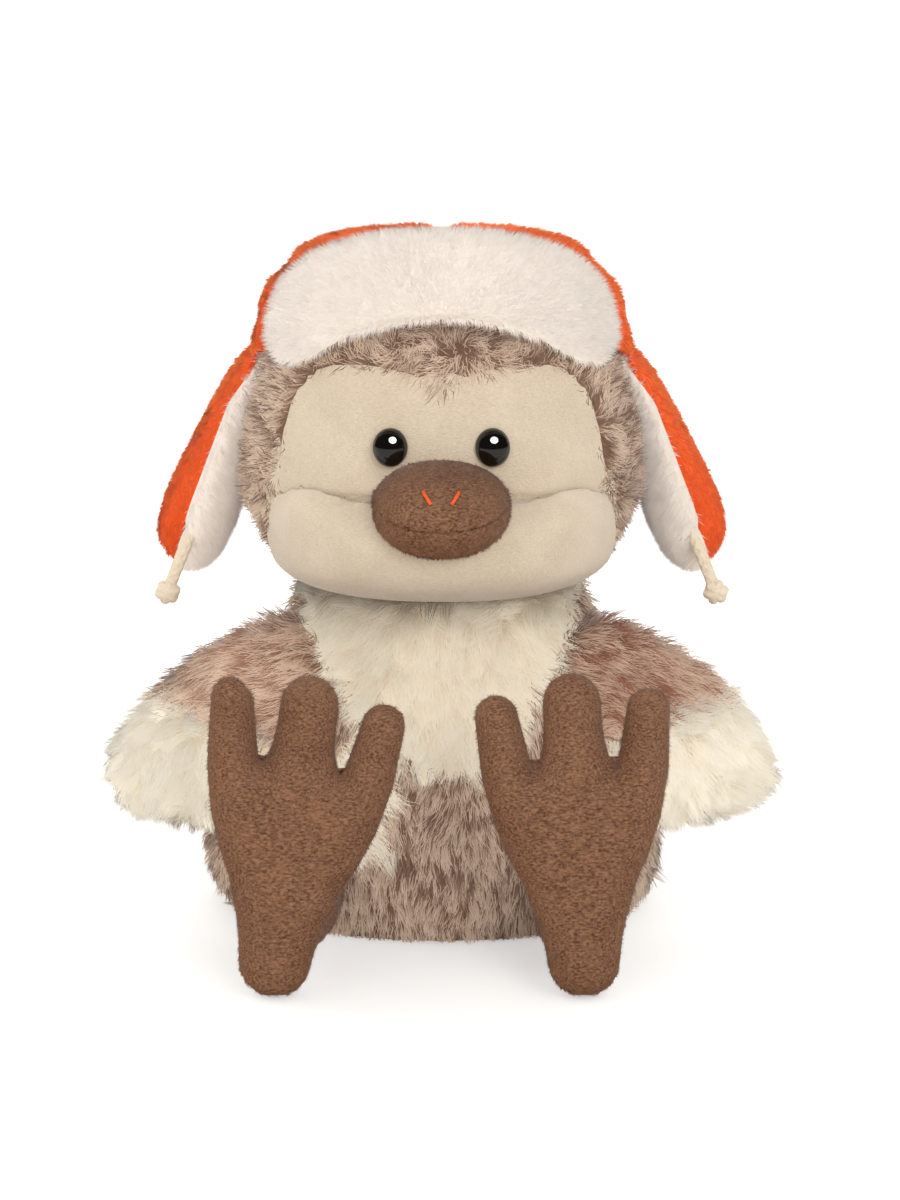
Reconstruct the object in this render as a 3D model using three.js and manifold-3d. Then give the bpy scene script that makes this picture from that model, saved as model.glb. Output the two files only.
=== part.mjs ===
// A plush sparrow that sits with its soles forward and wears a hat with two ear flaps.
// Millimetres and degrees. +Z is up, the face looks along -Y, and the origin is the middle of the
// flat seat. Left and right are the toy's own: left is at +X.
import * as THREE from "three";
import { mergeVertices } from "three/addons/utils/BufferGeometryUtils.js";
import Module from "manifold-3d";

// Cloth and seams
const GAP = 0.3; // clearance between pieces that are sewn or seated together
const PLUSH = 2.2; // body and head cloth: backing and the dense base of its pile
const HAT_CLOTH = 3; // padded cloth of the crown

// Torso: a pear on a flat oval seat
const TORSO_HEIGHT = 105; // seat to neck seam
const TORSO_HALF_WIDTH = 68.5;
const TORSO_HALF_DEPTH = 56;
const HIP_HEIGHT = 30; // where the torso is widest
const SEAT_HALF_WIDTH = 60;
const NECK_HALF_WIDTH = 42;

// Chest bib, a tapering panel let into the front of the torso
const BIB_HALF_WIDTH = 40; // at the neck seam
const BIB_WAIST = 24; // half width where it starts to round off
const BIB_LENGTH = 48; // neck seam to its lowest point

// Bag of pellets that weights the seat
const PELLET_HALF_WIDTH = 34;
const PELLET_HALF_DEPTH = 28;
const PELLET_HEIGHT = 18;

// Head
const HEAD_RISE = 43; // neck seam to the level where the head is widest
const HEAD_FORWARD = 4; // head's middle in front of the seat's
const HEAD_HALF_WIDTH = 61;
const HEAD_HALF_DEPTH = 52;
const HEAD_UP = 63; // widest level to the crown of the head
const HEAD_DOWN = 55; // widest level to the pole that the neck seam cuts off

// Face panel, measured from the head's middle
const FACE_HALF_WIDTH = 50;
const FACE_TOP = 34; // top of the two brow lobes
const FACE_PEAK = 26; // tip of the fur point between the lobes
const FACE_SEAM = -10; // lower edge, tucked behind the cheek roll

// Cheek roll under the eyes
const CHEEK_HALF_WIDTH = 55;
const CHEEK_HALF_DEPTH = 50;
const CHEEK_HALF_HEIGHT = 21;
const CHEEK_DROP = 21; // below the head's middle
const CHEEK_FORWARD = 15;

// Beak
const BEAK_HALF_WIDTH = 21;
const BEAK_HALF_DEPTH = 26;
const BEAK_HALF_HEIGHT = 14.5;
const BEAK_DROP = 8.3;
const BEAK_FORWARD = 81; // tip in front of the head's middle
const BEAK_SEAM_RISE = 5.3; // side seam above the beak's middle, at the face
const BEAK_SEAM_TILT = 18; // the seam falls towards the tip
const NOSTRIL_SPREAD = 9; // between the two stitches
const NOSTRIL_LENGTH = 5.4;
const NOSTRIL_RISE = 5; // above the beak's middle
const NOSTRIL_THREAD = 1.1; // thread diameter

// Safety eyes: a dome on a shank, held by a washer behind the cloth
const EYE_DIAMETER = 12;
const EYE_DOME = 5;
const EYE_SPACING = 31;
const EYE_RISE = 9.8;
const SHANK_DIAMETER = 3.6;
const SHANK_LENGTH = 9;
const WASHER_DIAMETER = 13;
const WASHER_THICKNESS = 1.6;

// Wings, each a padded panel that hangs from the shoulder; outline points are [out, up] from the shoulder
const WING_SHOULDER = [47, -20]; // [out, back] from the seat's middle
const WING_DROP = 10; // shoulder below the neck seam
const WING_SWEEP = 25; // the outer end is swept back
const WING_PITCH = 24; // the lower edge stands forward
const WING_HALF_THICKNESS = 9;
const WING_OUTLINE = [[-13, -5], [0, 1], [16, -5.5], [32, -17], [45, -33], [52, -50], [45, -59], [24, -62],
  [0, -58], [-18, -53], [-20, -33]];
const WING_MIDDLE = [14, -34];
const WING_BAND = -38; // where the pale band starts, on the panel's middle line
const WING_BAND_TILT = 14;

// Legs and feet
const LEG_DIAMETER = 23;
const LEG_HEIGHT = 19; // leg's axis above the floor
const HIP_BEARING = 31; // round from straight ahead to where the leg meets the torso
const FOOT_FORWARD = 106; // foot's middle plane in front of the seat's middle
const FOOT_HALF_THICKNESS = 10;
const FOOT_LENGTH = 100.5; // heel to middle toe
const FOOT_HALF_WIDTH = 29.5; // across the outer toes
const HEEL_RADIUS = 11.3;
const MIDDLE_TOE_RADIUS = 8.8;
const SIDE_TOE_RADIUS = 6.6;
const SIDE_TOE_SHORT = 6; // side toes end below the middle one
const TOE_CLEFT = 29; // depth of the clefts below the middle toe's tip
const FLOOR_CUT = 0.5; // depth of the flat where the heel rests
const LEFT_HEEL = 43.3; // heel's distance from the middle
const RIGHT_HEEL = 51.5;
const LEFT_TOE_IN = 3; // lean of the foot towards the middle
const RIGHT_TOE_IN = 8;

// Tail, a flat pad behind the seat
const TAIL_HEIGHT = 28;
const TAIL_LENGTH = 42;
const TAIL_HALF_WIDTH = 19;
const TAIL_HALF_THICKNESS = 7;
const TAIL_RISE = 20; // slope upwards and back

// Hat crown, measured from the head's middle
const HAT_HALF_WIDTH = 60.5;
const HAT_HALF_DEPTH = 55;
const HAT_UP = 69;
const HAT_BACK = 3;
const HAT_RIM = 28; // rim's height at the sides
const HAT_RIM_TILT = 21; // the rim is lower behind

// Brim, a fur-faced flap turned up on the front of the crown; measured from the head's middle
const BRIM_OUTLINE = [[0, 46], [28, 41], [48, 32], [54.5, 38], [50.5, 56], [40, 66.5], [22, 73], [0, 75],
  [-22, 73], [-40, 66.5], [-50.5, 56], [-54.5, 38], [-48, 32], [-28, 41]];
const BRIM_MIDDLE = [0, 57];
const BRIM_HALF_THICKNESS = 7;
const BRIM_FORWARD = 51; // middle of the brim's lower edge
const BRIM_LEAN = 17; // leans back against the crown
const BRIM_CURVE = 55; // radius of its bend round the crown

// Ear flaps, each an outer cloth and a fur lining; outline points are [forward, up] from the hinge seam
const FLAP_ROOT = [55, 3, 38]; // [out, back, up] from the head's middle
const FLAP_FLARE = 21;
const FLAP_HALF_THICKNESS = 10.3; // as far below the seam as FLAP_FULL
const FLAP_TAPER = 0.4; // share of that thickness at the seam
const FLAP_FULL = 57;
const FLAP_OUTLINE = [[0, 0], [18, -2], [25, -20], [25.5, -45], [20.5, -69], [0, -80.5], [-20.5, -69], [-25.5, -45],
  [-25, -20], [-18, -2]];
const FLAP_MIDDLE = [0, -50];

// Tie cords, sewn into the flap's front seam and knotted; points are [forward, out, up] from the hinge seam
const CORD_DIAMETER = 4;
const CORD_ROUTE = [[13, 0, -57], [17, 0, -61.5], [20.3, 0.2, -66.5], [22.8, 0.4, -72], [24.1, 0.5, -78],
  [24.4, 0.5, -85]];
const KNOT_DIAMETER = 8.6;
const KNOT_HEIGHT = 7.8;

const rad = THREE.MathUtils.degToRad;
const wasm = await Module();
wasm.setup();

const furBrown = new THREE.MeshStandardMaterial({ color: 0x9d7f6a, roughness: 0.95, metalness: 0 });
const furIvory = new THREE.MeshStandardMaterial({ color: 0xe2d5bf, roughness: 0.95, metalness: 0 });
const furWhite = new THREE.MeshStandardMaterial({ color: 0xeee2d4, roughness: 0.95, metalness: 0 });
const faceCream = new THREE.MeshStandardMaterial({ color: 0xdac9b1, roughness: 0.9, metalness: 0 });
const plushBrown = new THREE.MeshStandardMaterial({ color: 0x87604a, roughness: 0.92, metalness: 0 });
const hatOrange = new THREE.MeshStandardMaterial({ color: 0xe9632e, roughness: 0.88, metalness: 0 });
const cordCotton = new THREE.MeshStandardMaterial({ color: 0xe5d2b7, roughness: 0.9, metalness: 0 });
const eyeBlack = new THREE.MeshStandardMaterial({ color: 0x14100e, roughness: 0.08, metalness: 0 });
const threadOrange = new THREE.MeshStandardMaterial({ color: 0xf05a1e, roughness: 0.6, metalness: 0 });
const fibreFill = new THREE.MeshStandardMaterial({ color: 0xf4f1ea, roughness: 1, metalness: 0 });
const washerPlastic = new THREE.MeshStandardMaterial({ color: 0xe8e6e0, roughness: 0.4, metalness: 0 });

const sparrow = new THREE.Group();

// A frame to model in: a group at a place, turned by angles in degrees.
function frame(parent, place, turns = [0, 0, 0], order = "XYZ") {
  const group = new THREE.Group();
  group.position.set(...place);
  group.rotation.set(rad(turns[0]), rad(turns[1]), rad(turns[2]), order);
  parent.add(group);
  group.updateWorldMatrix(true, false);
  return group;
}

function welded(geometry) {
  const bare = new THREE.BufferGeometry();
  bare.setAttribute("position", geometry.getAttribute("position").clone());
  if (geometry.index) bare.setIndex(geometry.index.clone());
  return mergeVertices(bare, 1e-4);
}

// The same form with its skin moved outwards, or inwards where the distance is negative.
function grown(geometry, distance) {
  const skin = welded(geometry);
  skin.computeVertexNormals();
  const point = new THREE.Vector3();
  const outward = new THREE.Vector3();
  for (let i = 0; i < skin.attributes.position.count; i++) {
    outward.fromBufferAttribute(skin.attributes.normal, i);
    point.fromBufferAttribute(skin.attributes.position, i).addScaledVector(outward, distance);
    skin.attributes.position.setXYZ(i, point.x, point.y, point.z);
  }
  return skin;
}

function solid(geometry) {
  const skin = welded(geometry);
  const vertProperties = skin.attributes.position.array;
  const triVerts = new Uint32Array(skin.index.array);
  return new wasm.Manifold(new wasm.Mesh({ numProp: 3, vertProperties, triVerts }));
}

// A solid drawn in one frame, as another frame sees it.
function seen(shape, from, to) {
  const change = to.matrixWorld.clone().invert().multiply(from.matrixWorld);
  return shape.transform(change.elements);
}

// The part of a solid on the far side of a plane that is square to the direction.
function beyond(shape, direction, distance) {
  return shape.trimByPlane(direction, distance);
}

function add(group, name, shape, material) {
  const { vertProperties, triVerts } = shape.getMesh();
  const geometry = new THREE.BufferGeometry();
  geometry.setAttribute("position", new THREE.BufferAttribute(vertProperties, 3));
  geometry.setIndex(new THREE.BufferAttribute(triVerts, 1));
  geometry.computeVertexNormals();
  const mesh = new THREE.Mesh(geometry, material);
  mesh.name = name;
  group.add(mesh);
}

// A stuffed ball with its own half sizes. A fullness of 2 is an ellipsoid, and more is boxier:
// plan is its fullness seen from above, and side its fullness seen from the front.
function stuffedBall({ width, depth, up, down = up, plan = 2, side = 2, around = 24, rings = 14 }) {
  const ball = new THREE.SphereGeometry(1, around, rings).rotateX(Math.PI / 2);
  const { position } = ball.attributes;
  const p = new THREE.Vector3();
  for (let i = 0; i < position.count; i++) {
    p.fromBufferAttribute(position, i);
    const flat = (Math.abs(p.x) ** plan + Math.abs(p.y) ** plan) ** (1 / plan);
    const reach = (flat ** side + Math.abs(p.z) ** side) ** (1 / side);
    p.divideScalar(reach);
    position.setXYZ(i, p.x * width, p.y * depth, p.z * (p.z > 0 ? up : down));
  }
  return ball;
}

// How far in front of its middle the skin of a stuffed ball lies, at a place seen from the front.
function frontOf({ width, depth, up, down = up, plan = 2, side = 2 }, x, z) {
  const level = Math.abs(z / (z > 0 ? up : down)) ** side;
  const flat = (1 - level) ** (1 / side);
  return -depth * (flat ** plan - Math.abs(x / width) ** plan) ** (1 / plan);
}

// A stuffed panel: its outline, in the XZ plane, swells along Y to the half thickness at its middle.
function pillow(outline, middle, halfThickness, { rings = 5, fullness = 2.4 } = {}) {
  const edge = THREE.ShapeUtils.isClockWise(outline) ? outline : [...outline].reverse();
  const shell = new THREE.SphereGeometry(1, edge.length, 2 * rings);
  const { position } = shell.attributes;
  const columns = edge.length + 1;
  for (let i = 0; i < position.count; i++) {
    const angle = (Math.floor(i / columns) / (2 * rings)) * Math.PI;
    const across = Math.sin(angle);
    const high = Math.cos(angle);
    const reach = (Math.abs(across) ** fullness + Math.abs(high) ** fullness) ** (1 / fullness);
    const rim = edge[(i % columns) % edge.length];
    const share = across / reach;
    const x = middle.x + (rim.x - middle.x) * share;
    const z = middle.y + (rim.y - middle.y) * share;
    position.setXYZ(i, x, (halfThickness * high) / reach, z);
  }
  return shell;
}

// A smooth closed outline through points, with its first coordinate mirrored where side is -1.
function smoothOutline(points, side, count) {
  const corners = points.map(([x, y]) => new THREE.Vector3(side * x, y, 0));
  const curve = new THREE.CatmullRomCurve3(corners, true);
  return curve.getSpacedPoints(count).slice(0, count).map((p) => new THREE.Vector2(p.x, p.y));
}

// A prism that reaches forward from the middle plane, with an outline seen from the front.
function frontPrism(shape, reach) {
  const prism = new THREE.ExtrudeGeometry(shape, { depth: reach, bevelEnabled: false, curveSegments: 6 });
  return prism.rotateX(Math.PI / 2);
}

function lathe(points, segments) {
  return new THREE.LatheGeometry(points, segments).rotateX(Math.PI / 2);
}

function tube(route, diameter, steps) {
  const curve = new THREE.CatmullRomCurve3(route);
  const section = new THREE.Shape();
  section.absarc(0, 0, diameter / 2, 0, 2 * Math.PI);
  return new THREE.ExtrudeGeometry(section, { extrudePath: curve, steps, curveSegments: 8, bevelEnabled: false });
}

// Torso

const torsoDepthShare = TORSO_HALF_DEPTH / TORSO_HALF_WIDTH;

function torsoProfile() {
  const flare = TORSO_HALF_WIDTH - SEAT_HALF_WIDTH;
  const taper = TORSO_HALF_WIDTH - NECK_HALF_WIDTH;
  const back = TORSO_HEIGHT - HIP_HEIGHT;
  const profile = new THREE.Path();
  profile.moveTo(0, 0);
  profile.lineTo(SEAT_HALF_WIDTH, 0);
  profile.bezierCurveTo(SEAT_HALF_WIDTH + 0.75 * flare, 0.06 * HIP_HEIGHT, TORSO_HALF_WIDTH, 0.5 * HIP_HEIGHT,
    TORSO_HALF_WIDTH, HIP_HEIGHT);
  profile.bezierCurveTo(TORSO_HALF_WIDTH, HIP_HEIGHT + 0.4 * back, NECK_HALF_WIDTH + 0.3 * taper,
    HIP_HEIGHT + 0.75 * back, NECK_HALF_WIDTH, TORSO_HEIGHT);
  profile.lineTo(NECK_HALF_WIDTH - 0.2 * taper, TORSO_HEIGHT + 0.2 * back);
  profile.lineTo(0, TORSO_HEIGHT + 0.2 * back);
  return profile;
}

const torsoForm = lathe(torsoProfile().getPoints(5), 24).scale(1, torsoDepthShare, 1);
const torsoClear = solid(grown(torsoForm, GAP));

function bibShape(edge) {
  const bottom = TORSO_HEIGHT - BIB_LENGTH - edge;
  const top = TORSO_HEIGHT + 1;
  const wide = BIB_HALF_WIDTH + edge;
  const waist = BIB_WAIST + edge;
  const shape = new THREE.Shape();
  shape.moveTo(-wide, top);
  shape.bezierCurveTo(-wide, top - 0.4 * BIB_LENGTH, -waist, bottom + 0.5 * BIB_LENGTH,
    -waist, bottom + 0.3 * BIB_LENGTH);
  shape.bezierCurveTo(-waist, bottom + 0.1 * BIB_LENGTH, -0.5 * waist, bottom, 0, bottom);
  shape.bezierCurveTo(0.5 * waist, bottom, waist, bottom + 0.1 * BIB_LENGTH, waist, bottom + 0.3 * BIB_LENGTH);
  shape.bezierCurveTo(waist, bottom + 0.5 * BIB_LENGTH, wide, top - 0.4 * BIB_LENGTH, wide, top);
  return shape;
}

function buildTorso() {
  const up = [0, 0, 1];
  const down = [0, 0, -1];
  const skin = solid(torsoForm).subtract(solid(grown(torsoForm, -PLUSH)));
  const walls = beyond(beyond(skin, up, PLUSH + GAP), down, -TORSO_HEIGHT);
  const reach = 2 * TORSO_HALF_DEPTH;
  add(sparrow, "body_skin", walls.subtract(solid(frontPrism(bibShape(GAP), reach))), furBrown);
  add(sparrow, "chest_bib", walls.intersect(solid(frontPrism(bibShape(0), reach))), furIvory);
  add(sparrow, "seat_panel", beyond(solid(torsoForm), down, -PLUSH), furBrown);

  const bag = stuffedBall({ width: PELLET_HALF_WIDTH, depth: PELLET_HALF_DEPTH, up: PELLET_HEIGHT / 2,
    plan: 2, side: 2.6, around: 14, rings: 6 });
  bag.translate(0, 0, PLUSH + GAP + PELLET_HEIGHT / 2);
  const stuffing = beyond(solid(grown(torsoForm, -PLUSH - GAP)), up, PLUSH + GAP);
  add(sparrow, "pellet_bag", solid(bag), fibreFill);
  add(sparrow, "body_filling", beyond(stuffing, down, -TORSO_HEIGHT).subtract(solid(grown(bag, GAP))), fibreFill);
}

// Head

const headSizes = { width: HEAD_HALF_WIDTH, depth: HEAD_HALF_DEPTH, up: HEAD_UP, down: HEAD_DOWN,
  plan: 2.3, side: 2.2, around: 24, rings: 14 };
const head = frame(sparrow, [0, -HEAD_FORWARD, TORSO_HEIGHT + HEAD_RISE]);
const headForm = stuffedBall(headSizes);
const headClear = solid(grown(headForm, GAP));
const neckSeam = GAP - HEAD_RISE;

function faceShape(edge) {
  const wide = FACE_HALF_WIDTH + edge;
  const top = FACE_TOP + edge;
  const peak = FACE_PEAK + edge;
  const seam = FACE_SEAM - edge;
  const shape = new THREE.Shape();
  shape.moveTo(0, seam);
  shape.lineTo(wide, seam);
  shape.bezierCurveTo(wide, 0.5 * top, 0.9 * wide, top, 0.55 * wide, top);
  shape.bezierCurveTo(0.3 * wide, top, 0.1 * wide, 0.7 * top + 0.3 * peak, 0, peak);
  shape.bezierCurveTo(-0.1 * wide, 0.7 * top + 0.3 * peak, -0.3 * wide, top, -0.55 * wide, top);
  shape.bezierCurveTo(-0.9 * wide, top, -wide, 0.5 * top, -wide, seam);
  return shape;
}

function eyeProfile() {
  const profile = new THREE.Path();
  profile.moveTo(0, -SHANK_LENGTH);
  profile.lineTo(SHANK_DIAMETER / 2, -SHANK_LENGTH);
  profile.lineTo(SHANK_DIAMETER / 2, 0);
  profile.lineTo(EYE_DIAMETER / 2, 0);
  profile.absellipse(0, 0, EYE_DIAMETER / 2, EYE_DOME, 0, Math.PI / 2);
  return profile.getPoints(3);
}

// The washer's section, from its bore out: a bore of 0 gives the room that it takes up.
function washerProfile(bore, edge) {
  const rim = WASHER_DIAMETER / 2 + edge;
  const clothCurve = (WASHER_DIAMETER / 2) ** 2 / HEAD_HALF_DEPTH;
  const front = -PLUSH - 2 * GAP - clothCurve + edge;
  const back = front - WASHER_THICKNESS - 2 * edge;
  const corners = [[bore, back], [rim, back], [rim, front], [bore, front], [bore, back]];
  return corners.map(([r, z]) => new THREE.Vector2(r, z));
}

// An eye's frame sits on the face with its +Z straight out of the cloth.
function eyeFrame(side) {
  const step = 0.01;
  const x = (side * EYE_SPACING) / 2;
  const front = frontOf(headSizes, x, EYE_RISE);
  const slopeX = (frontOf(headSizes, x + step, EYE_RISE) - front) / step;
  const slopeZ = (frontOf(headSizes, x, EYE_RISE + step) - front) / step;
  const outward = new THREE.Vector3(slopeX, -1, slopeZ).normalize();
  const place = new THREE.Vector3(x, front, EYE_RISE).addScaledVector(outward, GAP);
  const socket = frame(head, place.toArray());
  socket.quaternion.setFromUnitVectors(new THREE.Vector3(0, 0, 1), outward);
  socket.updateWorldMatrix(true, false);
  return socket;
}

function buildHead() {
  const shell = beyond(solid(headForm).subtract(solid(grown(headForm, -PLUSH))), [0, 0, 1], neckSeam);
  const reach = 2 * HEAD_HALF_DEPTH;
  add(head, "head_skin", shell.subtract(solid(frontPrism(faceShape(GAP), reach))), furBrown);

  let face = shell.intersect(solid(frontPrism(faceShape(0), reach)));
  let filling = beyond(solid(grown(headForm, -PLUSH - GAP)), [0, 0, 1], neckSeam);
  for (const [name, side] of [["left", 1], ["right", -1]]) {
    const socket = eyeFrame(side);
    const eye = lathe(eyeProfile(), 14);
    const washer = lathe(washerProfile(SHANK_DIAMETER / 2 + GAP, 0), 14);
    const washerRoom = lathe(washerProfile(0, GAP), 14);
    add(socket, `eye_${name}`, solid(eye), eyeBlack);
    add(socket, `eye_washer_${name}`, solid(washer), washerPlastic);
    const eyeRoom = seen(solid(grown(eye, GAP)), socket, head);
    face = face.subtract(eyeRoom);
    filling = filling.subtract(eyeRoom).subtract(seen(solid(washerRoom), socket, head));
  }
  add(head, "face_panel", face, faceCream);
  add(head, "head_filling", filling, fibreFill);
}

const cheekForm = stuffedBall({ width: CHEEK_HALF_WIDTH, depth: CHEEK_HALF_DEPTH, up: CHEEK_HALF_HEIGHT,
  plan: 2.4, side: 2.2, around: 24, rings: 10 }).translate(0, -CHEEK_FORWARD, -CHEEK_DROP);

function buildCheeks() {
  const roll = beyond(solid(cheekForm).subtract(headClear), [0, 0, 1], neckSeam);
  add(head, "cheek_roll", beyond(roll, [0, -1, 0], 0), faceCream);
}

// A nostril stitch lies on the beak, its upper end further out, half sunk in a groove.
function nostrilStitch(beakSizes, side) {
  const half = NOSTRIL_LENGTH / 2;
  const lean = 0.5;
  const ends = [1, -1].map((end) => {
    const x = side * (NOSTRIL_SPREAD / 2 + end * half * lean);
    const z = NOSTRIL_RISE + end * half * Math.sqrt(1 - lean * lean);
    return new THREE.Vector3(x, frontOf(beakSizes, x, z), z);
  });
  const along = ends[0].clone().sub(ends[1]);
  const stitch = new THREE.CapsuleGeometry(NOSTRIL_THREAD / 2, along.length(), 3, 8);
  const turn = new THREE.Quaternion().setFromUnitVectors(new THREE.Vector3(0, 1, 0), along.normalize());
  const middle = ends[0].add(ends[1]).divideScalar(2);
  return stitch.applyQuaternion(turn).translate(middle.x, middle.y, middle.z);
}

function buildBeak() {
  const beakSizes = { width: BEAK_HALF_WIDTH, depth: BEAK_HALF_DEPTH, up: BEAK_HALF_HEIGHT,
    plan: 2.2, side: 2.1, around: 20, rings: 10 };
  const beak = frame(head, [0, -BEAK_FORWARD + BEAK_HALF_DEPTH, -BEAK_DROP]);
  const tilt = rad(BEAK_SEAM_TILT);
  const upwards = [0, -Math.sin(tilt), Math.cos(tilt)];
  const downwards = upwards.map((v) => -v);
  const seam = BEAK_SEAM_RISE * Math.cos(tilt);
  const headRoom = seen(headClear.add(solid(grown(cheekForm, GAP))), head, beak);
  const whole = beyond(solid(stuffedBall(beakSizes)).subtract(headRoom), [0, -1, 0], 0);
  let upper = beyond(whole, upwards, seam + GAP / 2);
  for (const [name, side] of [["left", 1], ["right", -1]]) {
    const stitch = nostrilStitch(beakSizes, side);
    add(beak, `nostril_stitch_${name}`, solid(stitch), threadOrange);
    upper = upper.subtract(solid(grown(stitch, GAP)));
  }
  add(beak, "beak_upper", upper, plushBrown);
  add(beak, "beak_lower", beyond(whole, downwards, -seam + GAP / 2), plushBrown);
}

// Wings: a brown covert panel over a pale band

function buildWing(name, side) {
  const [out, back] = WING_SHOULDER;
  const wing = frame(sparrow, [side * out, back, TORSO_HEIGHT - WING_DROP], [-WING_PITCH, 0, side * WING_SWEEP], "ZXY");
  const middle = new THREE.Vector2(side * WING_MIDDLE[0], WING_MIDDLE[1]);
  const form = pillow(smoothOutline(WING_OUTLINE, side, 28), middle, WING_HALF_THICKNESS, { rings: 4 });
  const whole = solid(form).subtract(seen(torsoClear, sparrow, wing));
  const tilt = rad(WING_BAND_TILT);
  const upwards = [-side * Math.sin(tilt), 0, Math.cos(tilt)];
  const downwards = upwards.map((v) => -v);
  const line = WING_BAND * Math.cos(tilt);
  add(wing, `wing_covert_${name}`, beyond(whole, upwards, line + GAP / 2), furBrown);
  add(wing, `wing_band_${name}`, beyond(whole, downwards, -line + GAP / 2), furIvory);
}

// Legs and feet

// A three-toed sole, heel at the origin and toes up.
function footOutline() {
  const toeTip = FOOT_LENGTH - SIDE_TOE_SHORT;
  const toeX = FOOT_HALF_WIDTH - SIDE_TOE_RADIUS;
  const toeY = toeTip - SIDE_TOE_RADIUS;
  const middleY = FOOT_LENGTH - MIDDLE_TOE_RADIUS;
  const cleftX = (toeX - SIDE_TOE_RADIUS + MIDDLE_TOE_RADIUS) / 2;
  const cleftY = FOOT_LENGTH - TOE_CLEFT;
  const waistX = 0.6 * FOOT_HALF_WIDTH;
  const waistY = 0.36 * FOOT_LENGTH;
  const shape = new THREE.Shape();
  shape.absarc(0, HEEL_RADIUS, HEEL_RADIUS, -Math.PI, 0);
  shape.bezierCurveTo(HEEL_RADIUS + 1, 0.6 * waistY, waistX - 2, 0.8 * waistY, waistX, waistY);
  shape.bezierCurveTo(waistX + 5, waistY + 10, FOOT_HALF_WIDTH, cleftY - 12, FOOT_HALF_WIDTH, toeY);
  shape.absarc(toeX, toeY, SIDE_TOE_RADIUS, 0, Math.PI);
  shape.quadraticCurveTo(cleftX + 1, cleftY + 3, cleftX, cleftY);
  shape.quadraticCurveTo(MIDDLE_TOE_RADIUS, cleftY + 4, MIDDLE_TOE_RADIUS, middleY);
  shape.absarc(0, middleY, MIDDLE_TOE_RADIUS, 0, Math.PI);
  shape.quadraticCurveTo(-MIDDLE_TOE_RADIUS, cleftY + 4, -cleftX, cleftY);
  shape.quadraticCurveTo(-cleftX - 1, cleftY + 3, SIDE_TOE_RADIUS - toeX, toeY);
  shape.absarc(-toeX, toeY, SIDE_TOE_RADIUS, 0, Math.PI);
  shape.bezierCurveTo(-FOOT_HALF_WIDTH, cleftY - 12, -waistX - 5, waistY + 10, -waistX, waistY);
  shape.bezierCurveTo(2 - waistX, 0.8 * waistY, -HEEL_RADIUS - 1, 0.6 * waistY, -HEEL_RADIUS, HEEL_RADIUS);
  return shape.getPoints(4).slice(0, -1);
}

// The torso's half width at a height above the seat.
function torsoHalfWidth(height) {
  const points = torsoProfile().getPoints(24).slice(1);
  const above = points.findIndex((p) => p.y >= height);
  const [low, high] = [points[above - 1], points[above]];
  return THREE.MathUtils.mapLinear(height, low.y, high.y, low.x, high.x);
}

// The hip: the round end of the leg lies against the torso, and the leg turns about its middle.
function hipPlace(side) {
  const bearing = rad(HIP_BEARING);
  const wide = torsoHalfWidth(LEG_HEIGHT);
  const deep = wide * torsoDepthShare;
  const outward = new THREE.Vector2(Math.sin(bearing) / wide, -Math.cos(bearing) / deep).normalize();
  const skin = new THREE.Vector2(wide * Math.sin(bearing), -deep * Math.cos(bearing));
  const middle = skin.addScaledVector(outward, LEG_DIAMETER / 2 + GAP);
  return new THREE.Vector3(side * middle.x, middle.y, LEG_HEIGHT);
}

function buildLeg(name, side, heel, toeIn) {
  const foot = frame(sparrow, [side * heel, -FOOT_FORWARD, -FLOOR_CUT], [0, -side * toeIn, 0]);
  const middle = new THREE.Vector2(0, 0.62 * FOOT_LENGTH);
  const sole = pillow(footOutline(), middle, FOOT_HALF_THICKNESS, { rings: 3, fullness: 2.8 });
  const footSolid = seen(solid(sole), foot, sparrow);
  const standing = beyond(footSolid, [0, 0, 1], 0);
  add(foot, `foot_${name}`, seen(standing, sparrow, foot), plushBrown);

  const hip = hipPlace(side);
  const ankle = new THREE.Vector3(side * heel, -FOOT_FORWARD, LEG_HEIGHT);
  const shin = new THREE.CapsuleGeometry(LEG_DIAMETER / 2, hip.distanceTo(ankle), 4, 12);
  const turn = new THREE.Quaternion();
  turn.setFromUnitVectors(new THREE.Vector3(0, 1, 0), hip.clone().sub(ankle).normalize());
  const place = hip.clone().add(ankle).divideScalar(2);
  shin.applyQuaternion(turn).translate(place.x, place.y, place.z);
  const footRoom = seen(solid(grown(sole, GAP)), foot, sparrow);
  const behindFoot = beyond(solid(shin).subtract(footRoom), [0, 1, 0], -FOOT_FORWARD);
  add(sparrow, `leg_${name}`, behindFoot.subtract(torsoClear), plushBrown);
}

// Tail: its rounded root lies against the back of the torso

function buildTail() {
  const seatBack = torsoHalfWidth(TAIL_HEIGHT) * torsoDepthShare + GAP;
  const tail = frame(sparrow, [0, seatBack, TAIL_HEIGHT], [TAIL_RISE - 90, 0, 0]);
  const points = [[0, 0], [0.6 * TAIL_HALF_WIDTH, 0.08 * TAIL_LENGTH], [0.85 * TAIL_HALF_WIDTH, 0.4 * TAIL_LENGTH],
    [TAIL_HALF_WIDTH, 0.75 * TAIL_LENGTH], [0.6 * TAIL_HALF_WIDTH, 0.97 * TAIL_LENGTH], [0, TAIL_LENGTH]];
  const mirrored = points.slice(1, -1).reverse().map(([x, z]) => [-x, z]);
  const outline = smoothOutline([...points, ...mirrored], 1, 24);
  const form = pillow(outline, new THREE.Vector2(0, 0.55 * TAIL_LENGTH), TAIL_HALF_THICKNESS, { rings: 4 });
  add(tail, "tail", solid(form).subtract(seen(torsoClear, sparrow, tail)), furBrown);
}

// Hat

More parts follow.
